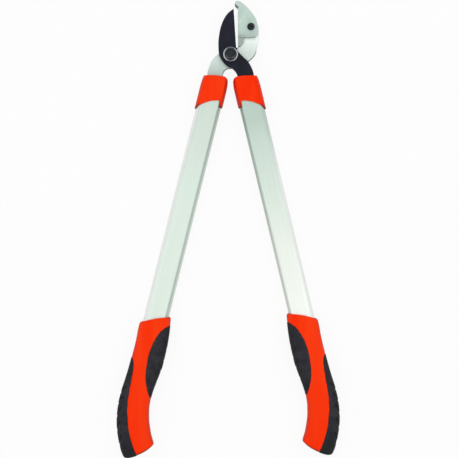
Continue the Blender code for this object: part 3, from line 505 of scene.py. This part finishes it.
def ground_steel():
    """Ground and satin plated plate of the anvil's arm, with painted light that makes it brighter
    at the jaw, and painted shade on its cut edge.
    """
    finish = Finish("ground_arm_steel", roughness=0.45, metallic=0.35)
    # Painted light: the tone grows brighter up the arm towards the jaw
    place = finish.node("ShaderNodeMapRange", {
        0: finish.axis("Y"), 1: -24 * MM, 2: 20 * MM}).outputs[0]
    tone = finish.ramp(place, [(0.0, srgb(176, 192, 184)), (0.34, srgb(196, 211, 204)),
                               (0.6, srgb(203, 213, 207)), (0.88, srgb(220, 229, 224)),
                               (1.0, srgb(233, 241, 237))])
    lines = finish.noise(scale=700, stretch=(1, 0.03, 1), turn=math.radians(20))
    tone = finish.mixed(finish.span(lines, 0.3, 0.7, end=0.12), tone, srgb(160, 172, 166))
    tone = worn(finish, tone, srgb(176, 182, 180), width=0.5 * MM, amount=0.6)
    # Painted shade on the cut edge, which also lowers its metallic share there
    side = painted_edge_shade(finish)
    finish.link("Base Color", finish.mixed(side, tone, srgb(52, 60, 60)))
    finish.link("Metallic", finish.span(side, 0.0, 1.0, start=0.35, end=0.1))
    rough_variation(finish, low=0.4, high=0.5, scale=120)
    finish.bump(lines, distance=0.03 * MM, strength=0.3)
    return finish.material


def cast_alloy():
    """Cast and blasted alloy of the anvil, with painted shade on its sides, its foot and low down,
    and a faint darker line.
    """
    finish = Finish("cast_anvil_alloy", roughness=0.5, metallic=0.35)
    tone = mottled(finish, srgb(168, 188, 179), srgb(190, 208, 198), scale=50)
    height, across = finish.axis("Y"), finish.axis("X")
    # Painted shade low down and towards the anvil's face
    shade = finish.times(finish.span(height, 22 * MM, 42 * MM, start=0.65, end=0.0),
                         finish.span(across, 12 * MM, 32 * MM, start=1.0, end=0.35))
    tone = finish.mixed(shade, tone, srgb(136, 152, 144))
    # A faint darker line across the anvil
    faint_line = finish.times(finish.span(height, 25.4 * MM, 26.1 * MM),
                        finish.span(height, 27.2 * MM, 27.9 * MM, start=1.0, end=0.0))
    faint_line = finish.times(faint_line, finish.span(across, 16 * MM, 27 * MM, start=0.4, end=0.0))
    tone = finish.mixed(faint_line, tone, srgb(118, 134, 127))
    # Painted shade on the foot
    foot_shade = finish.span(height, 23.7 * MM, 24.4 * MM, start=1.0, end=0.0)
    tone = finish.mixed(foot_shade, tone, srgb(148, 162, 154))
    tone = worn(finish, tone, srgb(150, 164, 158), width=0.6 * MM, amount=0.7)
    # Painted shade on the faces that stand up from the floor, which also lowers their metallic
    # share
    side = upright(finish, steep=0.35, shallow=0.7)
    side_shade_tone = finish.mixed(finish.span(height, 24 * MM, 30 * MM),
                             srgb(112, 124, 118), srgb(84, 96, 90))
    finish.link("Base Color", finish.mixed(side, tone, side_shade_tone))
    finish.link("Metallic", finish.span(side, 0.0, 1.0, start=0.35, end=0.1))
    rough_variation(finish, low=0.46, high=0.58, scale=260)
    finish.bump(finish.noise(scale=1500), distance=0.06 * MM, strength=0.45)
    return finish.material


def blade_coating():
    """Dark non-stick coating, with the bright ground bevel at the cutting edge."""
    finish = Finish("coated_blade", roughness=0.5, metallic=0.2)
    finish.set("Specular IOR Level", 0.15)
    across = finish.axis("X", -JAW_OPENING)
    along = finish.axis("Y", -JAW_OPENING)
    bevel = EDGE_OFFSET - BEVEL_WIDTH
    edge = finish.times(finish.span(across, bevel - 0.1 * MM, bevel + 0.1 * MM),
                        finish.span(along, EDGE_START - 0.6 * MM, EDGE_START))
    coat = mottled(finish, srgb(13, 16, 26), srgb(24, 27, 40), scale=70)
    coat = worn(finish, coat, srgb(96, 98, 104), width=0.4 * MM, amount=0.7)
    lines = finish.noise(scale=900, stretch=(0.05, 1, 1), turn=-JAW_OPENING)
    steel = finish.ramp(lines, [(0.3, srgb(205, 212, 210)), (0.7, srgb(238, 242, 240))])
    finish.link("Base Color", finish.mixed(edge, coat, steel))
    finish.link("Metallic", finish.span(edge, 0.0, 1.0, start=0.15, end=0.6))
    finish.link("Roughness", finish.span(edge, 0.0, 1.0, start=0.48, end=0.34))
    finish.bump(finish.noise(scale=1300), distance=0.04 * MM, strength=0.3)
    return finish.material


def ring_steel():
    """Zinc-plated washer, with painted highlights at its two sides, so it is brighter there than
    above and below.
    """
    finish = Finish("zinc_ring", roughness=0.35, metallic=0.7)
    finish.set("Specular IOR Level", 0.2)
    # Painted highlight at the washer's two sides
    beside = finish.span(finish.size(finish.axis("X")), 1 * MM, 9 * MM)
    tone = finish.mixed(beside, srgb(104, 107, 110), srgb(168, 171, 174))
    lines = finish.noise(scale=800)
    tone = finish.mixed(finish.span(lines, 0.3, 0.7, end=0.2), tone, srgb(96, 99, 102))
    finish.link("Base Color", worn(finish, tone, srgb(200, 203, 205), width=0.4 * MM, amount=0.6))
    rough_variation(finish, low=0.3, high=0.42, scale=270)
    finish.bump(lines, distance=0.03 * MM, strength=0.3)
    return finish.material


def nut_steel():
    """Black oxide of the pivot's nut, with a painted highlight on the low side of its face and
    painted shade on its flats.
    """
    finish = Finish("black_oxide_nut", roughness=0.45, metallic=0.3)
    finish.set("Specular IOR Level", 0.2)
    tone = mottled(finish, srgb(38, 41, 44), srgb(50, 53, 56), scale=120)
    height = finish.axis("Y")
    # Painted highlight on the low side of the nut's face
    low = finish.times(finish.span(height, -4.5 * MM, -1.5 * MM, start=0.7, end=0.0),
                       finish.span(height, -7 * MM, -6.3 * MM))
    tone = finish.mixed(low, tone, srgb(80, 82, 84))
    # Painted shade on the flats
    tone = finish.mixed(upright(finish, steep=0.2, shallow=0.7), tone, srgb(14, 16, 19))
    finish.link("Base Color", worn(finish, tone, srgb(112, 116, 120), width=0.4 * MM, amount=0.6))
    rough_variation(finish, low=0.4, high=0.53, scale=360)
    finish.bump(finish.noise(scale=720), distance=0.04 * MM, strength=0.3)
    return finish.material


def plain_metal(name, dark, light, bare, roughness, metallic, grain):
    """Metal of small parts, with a wandering tone and fine marks."""
    finish = Finish(name, roughness, metallic)
    finish.set("Specular IOR Level", 0.2)
    tone = worn(finish, mottled(finish, dark, light, grain), bare, width=0.4 * MM, amount=0.8)
    finish.link("Base Color", tone)
    rough_variation(finish, roughness - 0.05, roughness + 0.08, scale=3 * grain)
    finish.bump(finish.noise(scale=6 * grain), distance=0.04 * MM, strength=0.3)
    return finish.material


def matt_plastic(name, dark, light):
    """Plain moulding of the hidden plastic parts."""
    finish = Finish(name, roughness=0.55)
    tone = mottled(finish, dark, light, scale=80)
    finish.link("Base Color", worn(finish, tone, light, width=0.4 * MM, amount=0.6))
    rough_variation(finish, low=0.5, high=0.62, scale=300)
    finish.bump(finish.noise(scale=900, detail=2), distance=0.03 * MM, strength=0.3)
    return finish.material


# Meshes and pieces

def mirrored_cap(first, count):
    """Close a ring whose second half mirrors its first with strips between the halves."""
    half = count // 2
    faces = [(first, first + 1, first + count - 1),
             (first + half - 1, first + half, first + half + 1)]
    for index in range(1, half - 1):
        faces.append((first + index, first + index + 1,
                      first + count - index - 1, first + count - index))
    return faces


def folded_cap(first, front):
    """Close a ring of front points that comes back behind them on every second one."""
    faces = []
    for step in range(front // 2):
        outer = first + front - 1 - 2 * step
        back = first + front + step
        faces.append((outer, outer - 1, outer - 2, back + 1, back))
    return faces


def grid_mesh(name, rows, sharp, sunk=None, caps=()):
    """Skin rings of points; a value per point marks painted shade in grooves and on rims, caps are
    further faces.
    """
    count = len(rows[0])
    faces = list(caps)
    for row in range(len(rows) - 1):
        for column in range(count):
            beside = (column + 1) % count
            faces.append((row * count + column, row * count + beside,
                          (row + 1) * count + beside, (row + 1) * count + column))
    mesh = bpy.data.meshes.new(name)
    mesh.from_pydata([point for row in rows for point in row], [], faces)
    if sunk:
        mesh.attributes.new("sunk", "FLOAT", "POINT").data.foreach_set("value", sunk)
    clean(mesh)
    mesh.shade_smooth()
    mesh.set_sharp_from_angle(angle=math.radians(sharp))
    return mesh


def clean(mesh):
    """Weld points that fall together, drop loose ones and turn all faces outwards."""
    work = bmesh.new()
    work.from_mesh(mesh)
    bmesh.ops.remove_doubles(work, verts=work.verts, dist=0.001 * MM)
    loose = [point for point in work.verts if not point.link_faces]
    bmesh.ops.delete(work, geom=loose, context="VERTS")
    bmesh.ops.recalc_face_normals(work, faces=work.faces)
    work.to_mesh(mesh)
    work.free()


def handle_matrix(side):
    """Return the handle's own frame."""
    turn = HANDLE_ANGLE[side]
    x = side * HANDLE_OFFSET * math.cos(turn)
    y = HANDLE_OFFSET * math.sin(turn)
    place = Matrix.Translation((x, y, PLANE_HEIGHT))
    return place @ Matrix.Rotation(-math.pi / 2 + side * turn, 4, "Z")


def add_piece(name, mesh, body, material, replaced, matrix=None):
    """Add a piece that rides on a body and stands for a CAD node."""
    piece = bpy.data.objects.new(name, mesh)
    bpy.context.scene.collection.objects.link(piece)
    if matrix is not None:
        mesh.transform(matrix)
    mesh.materials.append(material)
    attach(piece, body)
    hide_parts(replaced)


def add_to_handle(label, side, name, node, rows, material, slot, **skin):
    """Add a piece of a handle, skinned over rings in that handle's own frame."""
    name = f"{label}_{name}"
    add_piece(name, grid_mesh(name, rows, **skin), BODIES[side], material,
              f"{label}_{node}", handle_matrix(side))


def paint(node, material):
    """Give a CAD node its material."""
    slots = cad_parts[node].data.materials
    slots.clear()
    slots.append(material)


def soften(node, width):
    """Round a CAD node's sharp edges by modifiers."""
    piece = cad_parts[node]
    weld = piece.modifiers.new("weld", "WELD")
    weld.merge_threshold = 0.002 * MM
    bevel = piece.modifiers.new("round", "BEVEL")
    bevel.width = width
    bevel.segments = 2
    bevel.limit_method = "ANGLE"
    bevel.angle_limit = math.radians(35)
    piece.modifiers.new("normals", "WEIGHTED_NORMAL")


# Tubes and ferrules

def tube_section(growth, fillet=TUBE_FILLET):
    """Return the tube's section as points across and up, round outside and facetted inside."""
    half_width = TUBE_WIDTH / 2 + growth
    half_depth = TUBE_DEPTH / 2 + growth
    half_side = TUBE_SIDE_DEPTH / 2
    facet = TUBE_FACET_WIDTH - half_width
    points = []
    for step in range(TUBE_ROUND_STEPS + 1):
        angle = math.pi * step / TUBE_ROUND_STEPS - math.pi / 2
        points.append((half_width - TUBE_ROUND + TUBE_ROUND * math.cos(angle),
                       half_depth * math.sin(angle)))
    corners = [Vector(corner) for corner in (
        points[-1], (facet, half_depth), (-half_width, half_side), (-half_width, -half_side),
        (facet, -half_depth), points[0])]
    last = len(TUBE_FLAT_STEPS) - 1
    for index, count in enumerate(TUBE_FLAT_STEPS):
        start, corner = corners[index], corners[index + 1]
        along = (corner - start).normalized()
        if index > 0:
            start = start + along * fillet
        end = corner - along * fillet if index < last else corner
        steps = range(0 if index > 0 else 1, count + 1 if index < last else count)
        points += [tuple(start.lerp(end, step / count)) for step in steps]
        if index < last:
            onwards = (corners[index + 2] - corner).normalized()
            for share in FILLET_SHARES:
                before = end.lerp(corner, share)
                after = corner.lerp(corner + onwards * fillet, share)
                points.append(tuple(before.lerp(after, share)))
    return points


def make_tube(label, side, material):
    """Make a handle's tube with lightly broken ends."""
    start, end = TUBE_START, TUBE_END[side]
    rows = []
    for u, growth in ((start, -TUBE_WALL), (start, -TUBE_RIM), (start + TUBE_RIM, 0),
                      (end - TUBE_RIM, 0), (end, -TUBE_RIM), (end, -TUBE_WALL),
                      (start, -TUBE_WALL)):
        rows.append([(u, side * v, z) for v, z in tube_section(growth)])
    add_to_handle(label, side, "tube", "handle_tube", rows, material, "anodised_tube", sharp=40)


def slot_row(side, depth):
    """Return the ring of the tang's slot in the ferrule's top, matched to the section's points."""
    ring = []
    for v, z in tube_section(0):
        angle = math.atan2(z / TUBE_DEPTH, (v - SLOT_MIDDLE) / TUBE_WIDTH)
        across = SLOT_MIDDLE + SLOT_HALF_WIDTH * signed_power(math.cos(angle), SLOT_POWER)
        up = side * SLOT_HEIGHT + SLOT_HALF_DEPTH * signed_power(math.sin(angle), SLOT_POWER)
        u = monotone(FERRULE_TOP_EDGE, across / MM) * MM + depth
        ring.append((u, side * across, up))
    return ring


def tip_share(u, v, low):
    """Return how close a point of the ferrule is to the tip of one of its lobes, which is its share
    of painted shade.
    """
    lobe = max(ease((way * v / MM - start) / width)
               for way, (start, width) in ((1, OUTER_LOBE), (-1, INNER_LOBE)))
    return lobe * ease((u - low(v) + TIP_BAND) / TIP_BAND)


def make_collar(label, side, material):
    """Make the ferrule with its slanted top, scalloped lower edge and rounded rims."""
    def top(v):
        return monotone(FERRULE_TOP_EDGE, v / MM) * MM

    def low(v):
        return monotone(FERRULE_LOW_EDGE, v / MM) * MM

    def outer_row(share, inset, growth):
        """Return a ring of the outside; share runs from the upper edge to the lower one."""
        ring = []
        for v, z in tube_section(FIT_GAP + FERRULE_WALL, FERRULE_FILLET):
            u = top(v) + inset + share * (low(v) - top(v) - 2 * inset)
            added = monotone(FERRULE_SECTIONS, u / MM) * MM - FERRULE_WALL + growth
            ring.append((u, side * v * (1 + added / (TUBE_WIDTH / 2)),
                         z * (1 + added / (TUBE_DEPTH / 2))))
        return ring

    slot_end = slot_row(side, SLOT_REACH)
    inner = tube_section(FIT_GAP)
    rows = [slot_end, slot_row(side, 0)]
    rows += [outer_row(0, inset * MM, growth * MM) for inset, growth in FERRULE_TOP_RIM]
    rows += [outer_row(step / FERRULE_STEPS, FERRULE_RIM_WIDTH, 0)
             for step in range(FERRULE_STEPS + 1)]
    rows += [outer_row(1, inset * MM, growth * MM) for inset, growth in FERRULE_LOW_RIM]
    rows.append([(low(v), side * v, z) for v, z in inner])
    rows.append([(TUBE_START - FIT_GAP, side * v, z) for v, z in inner])
    rows.append(slot_end)
    # Painted shade at the tips of the lobes
    sunk = [tip_share(point[0], side * point[1], low) for row in rows for point in row]
    add_to_handle(label, side, "collar", "ferrule", rows, material, "orange_plastic",
                  sharp=55, sunk=sunk)


# Grips

def grip_place(side, along):
    """Return a point of the grip's centre line, its heading and its outward side."""
    angle = max(0, along - GRIP_STRAIGHT) / GRIP_BEND_RADIUS
    start = TUBE_END[side] - GRIP_SOCKET_DEPTH
    u = start + min(along, GRIP_STRAIGHT) + GRIP_BEND_RADIUS * math.sin(angle)
    v = -GRIP_BEND_RADIUS * (1 - math.cos(angle))
    heading = Vector((math.cos(angle), -math.sin(angle)))
    outwards = Vector((math.sin(angle), math.cos(angle)))
    return Vector((u, v)), heading, outwards


def rim_slant(w):
    """Return how far the rim stands down the handle at a distance across it."""
    return w * math.tan(GRIP_RIM_LEAN) + w * w / (2 * GRIP_RIM_RADIUS) - GRIP_RIM_RISE


def end_slant(along, w):
    """Return how far the rounded end moves a point down the grip."""
    fade = max(0, 1 - (GRIP_LENGTH - along) / GRIP_END_FADE)
    return fade * (GRIP_END_RISE - (w - GRIP_END_MIDDLE) ** 2 / (2 * GRIP_END_RADIUS))


def grip_halves(along):
    """Return the grip's half widths inwards and outwards, and its half depth."""
    place = along / MM
    inner = TUBE_WIDTH / 2 + monotone(GRIP_SECTIONS, place, 1) * MM
    outer = TUBE_WIDTH / 2 + monotone(GRIP_SECTIONS, place, 2) * MM
    depth = PLANE_HEIGHT + GRIP_CROWN - monotone(GRIP_SECTIONS, place, 3) * MM
    return inner, outer, depth


def grip_point(side, along, angle, growth):
    """Return a point of the grip's surface, moved outwards by the growth."""
    inner, outer, depth = grip_halves(along)
    cosine, sine = math.cos(angle), math.sin(angle)
    w = ((outer if cosine > 0 else inner) + growth) * signed_power(cosine, GRIP_POWER)
    z = (depth + growth) * signed_power(sine, GRIP_POWER)
    centre, heading, outwards = grip_place(side, along + growth * along / GRIP_LENGTH)
    slant = max(0, 1 - along / GRIP_LEAN_FADE) * rim_slant(w) + end_slant(along, w)
    point = centre + outwards * w + heading * slant
    return (point.x, side * point.y, max(z, -PLANE_HEIGHT))


def edge_angle(along, table, half):
    """Return how far round the grip's side a pad reaches from the side's middle."""
    share = min(1, abs(monotone(table, along / MM)) * MM / half)
    return math.acos(share ** (1 / GRIP_POWER))


def pad_edge(table, place, side_edge):
    """Return where a pad's edge lies across the grip, or the grip's side where there is no pad."""
    if table[0][0] <= place <= table[-1][0]:
        return monotone(table, place) * MM
    return side_edge


def body_growth(along, angle):
    """Return the relief of the orange body: pockets under the pads, a valley between them."""
    inner, outer, _ = grip_halves(along)
    cosine = math.cos(angle)
    w = (outer if cosine > 0 else inner) * signed_power(cosine, GRIP_POWER)
    place = along / MM
    ends = ease(along / GRIP_SINK_FADE) * ease((GRIP_LENGTH - along) / GRIP_SINK_FADE)
    gap = min(w - pad_edge(INNER_PAD_EDGE, place, -inner),
              pad_edge(OUTER_PAD_EDGE, place, outer) - w)
    if gap < 0:
        return -PAD_POCKET * ease(-gap / PAD_POCKET)
    return -GRIP_SINK * ease(gap / GRIP_SINK_WIDTH) * ends


def bore_ring(side, angles, u, slanted):
    """Return a ring of the grip's bore, matched to the grip's angles."""
    ring = []
    for angle in angles:
        _, y, z = grip_point(side, 0, angle, 0)
        reach = max(abs(y) / (TUBE_WIDTH / 2 + FIT_GAP), abs(z) / (TUBE_DEPTH / 2 + FIT_GAP))
        v = side * y / reach
        ring.append((u + (rim_slant(v) if slanted else 0), side * v, z / reach))
    return ring


def make_grip_body(label, side, material):
    """Make the orange grip: its bore, its rim, the body with its relief and the closed end."""
    angles = [2 * math.pi * column / GRIP_COLUMNS for column in range(GRIP_COLUMNS)]
    mouth = TUBE_END[side] - GRIP_SOCKET_DEPTH + GRIP_MOUTH_DEPTH
    rows = [bore_ring(side, angles, TUBE_END[side] + FIT_GAP, False),
            bore_ring(side, angles, mouth, True),
            [grip_point(side, 0, angle, -GRIP_MOUTH_INSET) for angle in angles]]
    sunk = len(rows) * GRIP_COLUMNS * [0.0]
    for step in range(GRIP_ROWS + 1):
        along = GRIP_LENGTH * (1 - math.cos(math.pi * step / GRIP_ROWS)) / 2
        rows.append([grip_point(side, along, angle, body_growth(along, angle)) for angle in angles])
        # Painted shade round the grip's end
        band = ease((along - GRIP_LENGTH + END_BAND) / END_BAND_FADE)
        sunk += GRIP_COLUMNS * [band if step < GRIP_ROWS else 0.0]
    caps = mirrored_cap(0, GRIP_COLUMNS)
    caps += mirrored_cap((len(rows) - 1) * GRIP_COLUMNS, GRIP_COLUMNS)
    add_to_handle(label, side, "grip", "grip_body", rows, material, "orange_plastic",
                  sharp=60, sunk=sunk, caps=caps)


def groove_share(along, angle, grooves):
    """Return how far a point of a pad lies in one of its chevron grooves."""
    near = ease((GROOVE_REACH - abs(angle)) / GROOVE_FADE)
    chevron = along + GROOVE_SLANT * min(1, abs(angle) / GROOVE_REACH)
    return near * max(ease(1 - abs(chevron - place) / GROOVE_WIDTH) for place in grooves)


def make_pad(label, side, pad, material):
    """Make a soft pad: a skin over the grip's side with a rolled border and cross grooves."""
    inner_pad = pad == "inner"
    table = INNER_PAD_EDGE if inner_pad else OUTER_PAD_EDGE
    groove_depth, grooves = INNER_GROOVES if inner_pad else OUTER_GROOVES
    start, end = table[0][0] * MM, table[-1][0] * MM
    middle = math.pi if inner_pad else 0
    shares = [*(-share for share in PAD_COLUMNS), 0, *reversed(PAD_COLUMNS)]
    rows = []
    sunk = []
    for step in range(PAD_ROWS + 1):
        along = start + (end - start) * step / PAD_ROWS
        reach = edge_angle(along, table, grip_halves(along)[0 if inner_pad else 1])
        tip = ease(reach / PAD_TAPER_REACH)
        row = []
        for index, share in enumerate(shares):
            border = min(index, len(shares) - 1 - index)
            growth = PAD_PROFILE[border] if border < len(PAD_PROFILE) else PAD_RAISE
            depth = groove_share(along, share * reach, grooves)
            growth = growth * tip + PAD_ROOT * (1 - tip) - groove_depth * depth * tip
            row.append(grip_point(side, along, middle + share * reach, growth))
            # Painted shade in the grooves
            sunk.append(depth * tip * groove_depth / OUTER_GROOVES[0])
        for share in shares[::-2]:
            growth = PAD_BACK * tip + PAD_ROOT * (1 - tip)
            row.append(grip_point(side, along, middle + share * reach, growth))
            sunk.append(0.0)
        rows.append(row)
    caps = folded_cap((len(rows) - 1) * len(rows[0]), len(shares))
    add_to_handle(label, side, f"{pad}_pad", f"grip_{pad}_pad", rows, material, "black_rubber",
                  sharp=60, sunk=sunk, caps=caps)


# Pivot and anvil hardware

def polar_row(radius_of, height_of):
    """Return a ring whose radius and height may depend on the angle."""
    ring = []
    for point in range(RING_POINTS):
        angle = 2 * math.pi * point / RING_POINTS
        radius = radius_of(angle)
        ring.append((radius * math.cos(angle), radius * math.sin(angle), height_of(radius)))
    return ring


def level_row(radius_of, height):
    return polar_row(radius_of, lambda radius: height)


def round_row(radius, height):
    return level_row(lambda angle: radius, height)


def turned_rows(outline, base):
    """Return the rings of an outline whose levels count from a base."""
    return [round_row(radius * MM, base + level * MM) for radius, level in outline]


def hexagon(flats):
    """Return a function that gives a hexagon's radius at an angle, two corners on the X axis."""
    return lambda angle: flats / 2 / math.cos(angle % (math.pi / 3) - math.pi / 6)


def hexagon_rows(flats, low, high, cone_radius, low_slope):
    """Return the outer rings of a hexagon whose upper corners, or all, are turned to a cone."""
    def cone(angle):
        return min(hexagon(flats)(angle), cone_radius)

    def lower(radius):
        return low + max(0, radius - cone_radius) * low_slope

    def upper(radius):
        return high - max(0, radius - cone_radius) * CHAMFER_SLOPE

    return [polar_row(hexagon(flats), lower), polar_row(hexagon(flats), upper),
            level_row(cone, high)]


def add_hardware(name, node, rows, sharp, material, place=None):
    add_piece(name, grid_mesh(name, rows, sharp), "anvil_side", material, node, place)


def level_span(node):
    """Return the lowest and highest level of a CAD node."""
    low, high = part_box(node)
    return low[2], high[2]


def make_nut(material):
    """Make the pivot's hexagon nut on its flange."""
    low, high = level_span("pivot_nut")
    rows = turned_rows(NUT_FLANGE, low)
    rows += hexagon_rows(NUT_FLATS, low + NUT_FLANGE_HEIGHT, high, NUT_CONE, 0)
    rows += turned_rows(NUT_MOUTH, high)
    rows.append(round_row(BORE_RADIUS, low))
    add_hardware("hexagon_nut", "pivot_nut", rows, 25, material)


def make_washer(material):
    """Make the flat washer with its punched edges."""
    low, high = level_span("pivot_washer")
    rows = turned_rows(WASHER_RIM, low) + turned_rows(WASHER_FACE, high)
    rows.append(round_row(BORE_RADIUS, low))
    add_hardware("flat_washer", "pivot_washer", rows, 50, material)


def make_bolt(material):
    """Make the pivot's bolt: hexagon head behind, shank, and a threaded end inside the nut."""
    head_high = level_span("spring_washer")[0] - FIT_GAP
    bolt_high = level_span("pivot_bolt")[1]
    thread = level_span("pivot_nut")[1] - THREAD_START
    rows = turned_rows(BOLT_HEAD_FACE, 0)
    rows += hexagon_rows(BOLT_HEAD_FLATS, 0, head_high, BOLT_HEAD_CONE, CHAMFER_SLOPE)
    rows += turned_rows(BOLT_NECK, head_high)
    rows.append(round_row(BOLT_RADIUS, thread))
    while thread < bolt_high - THREAD_END:
        rows.append(round_row(THREAD_ROOT, thread + THREAD_PITCH / 2))
        thread += THREAD_PITCH
        rows.append(round_row(BOLT_RADIUS, thread))
    rows += turned_rows(BOLT_END, bolt_high)
    add_hardware("hexagon_bolt", "pivot_bolt", rows, 25, material)


def make_screw(material):
    """Make the anvil's button-head screw with its hexagon socket."""
    low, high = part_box("anvil_screw")
    top = high[2]
    seat = level_span("anvil")[1] + FIT_GAP
    socket = hexagon(SOCKET_FLATS)
    rows = [round_row(0, top - SOCKET_DEPTH - SOCKET_CONE),
            level_row(socket, top - SOCKET_DEPTH), level_row(socket, top - SOCKET_CHAMFER),
            round_row(SOCKET_MOUTH_RADIUS, top)]
    crown = SCREW_HEAD_RADIUS - SOCKET_MOUTH_RADIUS
    for step in range(1, SCREW_HEAD_STEPS + 1):
        angle = step / SCREW_HEAD_STEPS * math.pi / 2
        radius = SOCKET_MOUTH_RADIUS + crown * math.sin(angle) ** SCREW_HEAD_POWER
        drop = (top - seat - SCREW_HEAD_SIDE) * (1 - math.cos(angle))
        rows.append(round_row(radius, top - drop))
    rows += turned_rows(SCREW_NECK, seat) + turned_rows(SCREW_END, low[2])
    place = Matrix.Translation(((low[0] + high[0]) / 2, (low[1] + high[1]) / 2, 0))
    add_hardware("button_screw", "anvil_screw", rows, 30, material, place=place)


# Surroundings

def is_seen(tree):
    """Return 1 for rays that come from the camera, straight or by gloss or glass."""
    rays = tree.nodes.new("ShaderNodeLightPath").outputs
    total = rays["Is Camera Ray"]
    for name in ("Is Glossy Ray", "Is Transmission Ray"):
        adding = tree.nodes.new("ShaderNodeMath")
        adding.operation = "MAXIMUM"
        tree.links.new(total, adding.inputs[0])
        tree.links.new(rays[name], adding.inputs[1])
        total = adding.outputs[0]
    return total


def mix_shaders(tree, share, first, second, output):
    both = tree.nodes.new("ShaderNodeMixShader")
    tree.links.new(share, both.inputs[0])
    tree.links.new(first.outputs[0], both.inputs[1])
    tree.links.new(second.outputs[0], both.inputs[2])
    tree.links.new(both.outputs[0], tree.nodes.new(output).inputs[0])


def make_floor():
    """Add the floor: diffuse for the lamps' light, and nearly white where it is seen."""
    mesh = bpy.data.meshes.new("floor")
    ways = ((-1, -1), (1, -1), (1, 1), (-1, 1))
    corners = [(x * FLOOR_REACH, y * FLOOR_REACH, 0) for x, y in ways]
    mesh.from_pydata(corners, [], [(0, 1, 2, 3)])
    floor = bpy.data.objects.new("floor", mesh)
    bpy.context.scene.collection.objects.link(floor)
    material = bpy.data.materials.new("pale_floor")
    material.use_nodes = True
    tree = material.node_tree
    tree.nodes.clear()
    plain = tree.nodes.new("ShaderNodeBsdfDiffuse")
    plain.inputs["Color"].default_value = FLOOR_COLOUR
    glow = tree.nodes.new("ShaderNodeEmission")
    share = tree.nodes.new("ShaderNodeMath")
    share.operation = "MULTIPLY"
    share.inputs[1].default_value = FLOOR_GLOW
    tree.links.new(is_seen(tree), share.inputs[0])
    mix_shaders(tree, share.outputs[0], plain, glow, "ShaderNodeOutputMaterial")
    mesh.materials.append(material)


def make_world():
    """Add a white background that lights the scene less brightly than it is seen."""
    world = bpy.data.worlds.new("studio")
    bpy.context.scene.world = world
    world.use_nodes = True
    tree = world.node_tree
    tree.nodes.clear()
    light = tree.nodes.new("ShaderNodeBackground")
    light.inputs["Color"].default_value = WHITE
    light.inputs["Strength"].default_value = WORLD_LIGHT
    seen = tree.nodes.new("ShaderNodeBackground")
    seen.inputs["Color"].default_value = WHITE
    mix_shaders(tree, is_seen(tree), light, seen, "ShaderNodeOutputWorld")


def add_lamp(name, place, size, power):
    """Add a soft rectangular lamp that faces the picture's centre on the floor."""
    x, y = PICTURE_CENTRE
    place = Vector((x + place[0], y + place[1], place[2]))
    light = bpy.data.lights.new(name, "AREA")
    light.shape = "RECTANGLE"
    light.size, light.size_y = size
    light.energy = power
    lamp = bpy.data.objects.new(name, light)
    bpy.context.scene.collection.objects.link(lamp)
    lamp.location = place
    lamp.rotation_euler = (Vector((x, y, 0)) - place).to_track_quat("-Z", "Y").to_euler()


def make_view():
    """Add the lamps, and the camera straight above the picture's centre."""
    for lamp in LAMPS:
        add_lamp(*lamp)
    camera = bpy.data.cameras.new("camera")
    camera.lens = camera.sensor_width * CAMERA_DISTANCE / (PICTURE_SCALE * PICTURE_SIZE)
    camera.clip_end = CLIP_END
    viewer = bpy.data.objects.new("camera", camera)
    bpy.context.scene.collection.objects.link(viewer)
    viewer.location = (*PICTURE_CENTRE, FOCUS_HEIGHT + CAMERA_DISTANCE)
    bpy.context.scene.camera = viewer
    bpy.context.scene.view_settings.view_transform = "Standard"


# The whole lopper

orange = orange_plastic()
rubber = black_rubber()
black = plain_metal("black_oxide", srgb(22, 26, 30), srgb(38, 42, 48), srgb(104, 108, 112),
                    roughness=0.45, metallic=0.3, grain=120)
bright = plain_metal("zinc_plate", srgb(128, 131, 134), srgb(150, 152, 156), srgb(200, 203, 205),
                     roughness=0.35, metallic=0.7, grain=90)
bronze = plain_metal("sintered_bronze", srgb(150, 112, 60), srgb(180, 140, 84),
                     srgb(214, 178, 120), roughness=0.42, metallic=0.8, grain=150)
acetal = matt_plastic("white_acetal_washer", srgb(222, 222, 216), srgb(236, 236, 230))
nylon = matt_plastic("grey_nylon_block", srgb(96, 98, 100), srgb(120, 122, 124))
tubes = {side: anodised_tube(label, side) for label, side in SIDES.items()}

paint("cutting_blade", blade_coating())
paint("anvil_arm", ground_steel())
paint("anvil", cast_alloy())
paint("anvil_screw_nut", black)
paint("spring_washer", bright)
paint("friction_washer", acetal)
paint("pivot_bushing", bronze)
soften("cutting_blade", 0.35 * MM)
soften("anvil_arm", 0.7 * MM)
soften("anvil", 0.45 * MM)
make_nut(nut_steel())
make_washer(ring_steel())
make_bolt(black)
make_screw(black)

for label, side in SIDES.items():
    paint(f"{label}_tang_insert", nylon)
    paint(f"{label}_upper_rivet", bright)
    paint(f"{label}_lower_rivet", bright)
    make_tube(label, side, tubes[side])
    make_collar(label, side, orange)
    make_grip_body(label, side, orange)
    make_pad(label, side, "inner", rubber)
    make_pad(label, side, "outer", rubber)

make_floor()
make_world()
make_view()
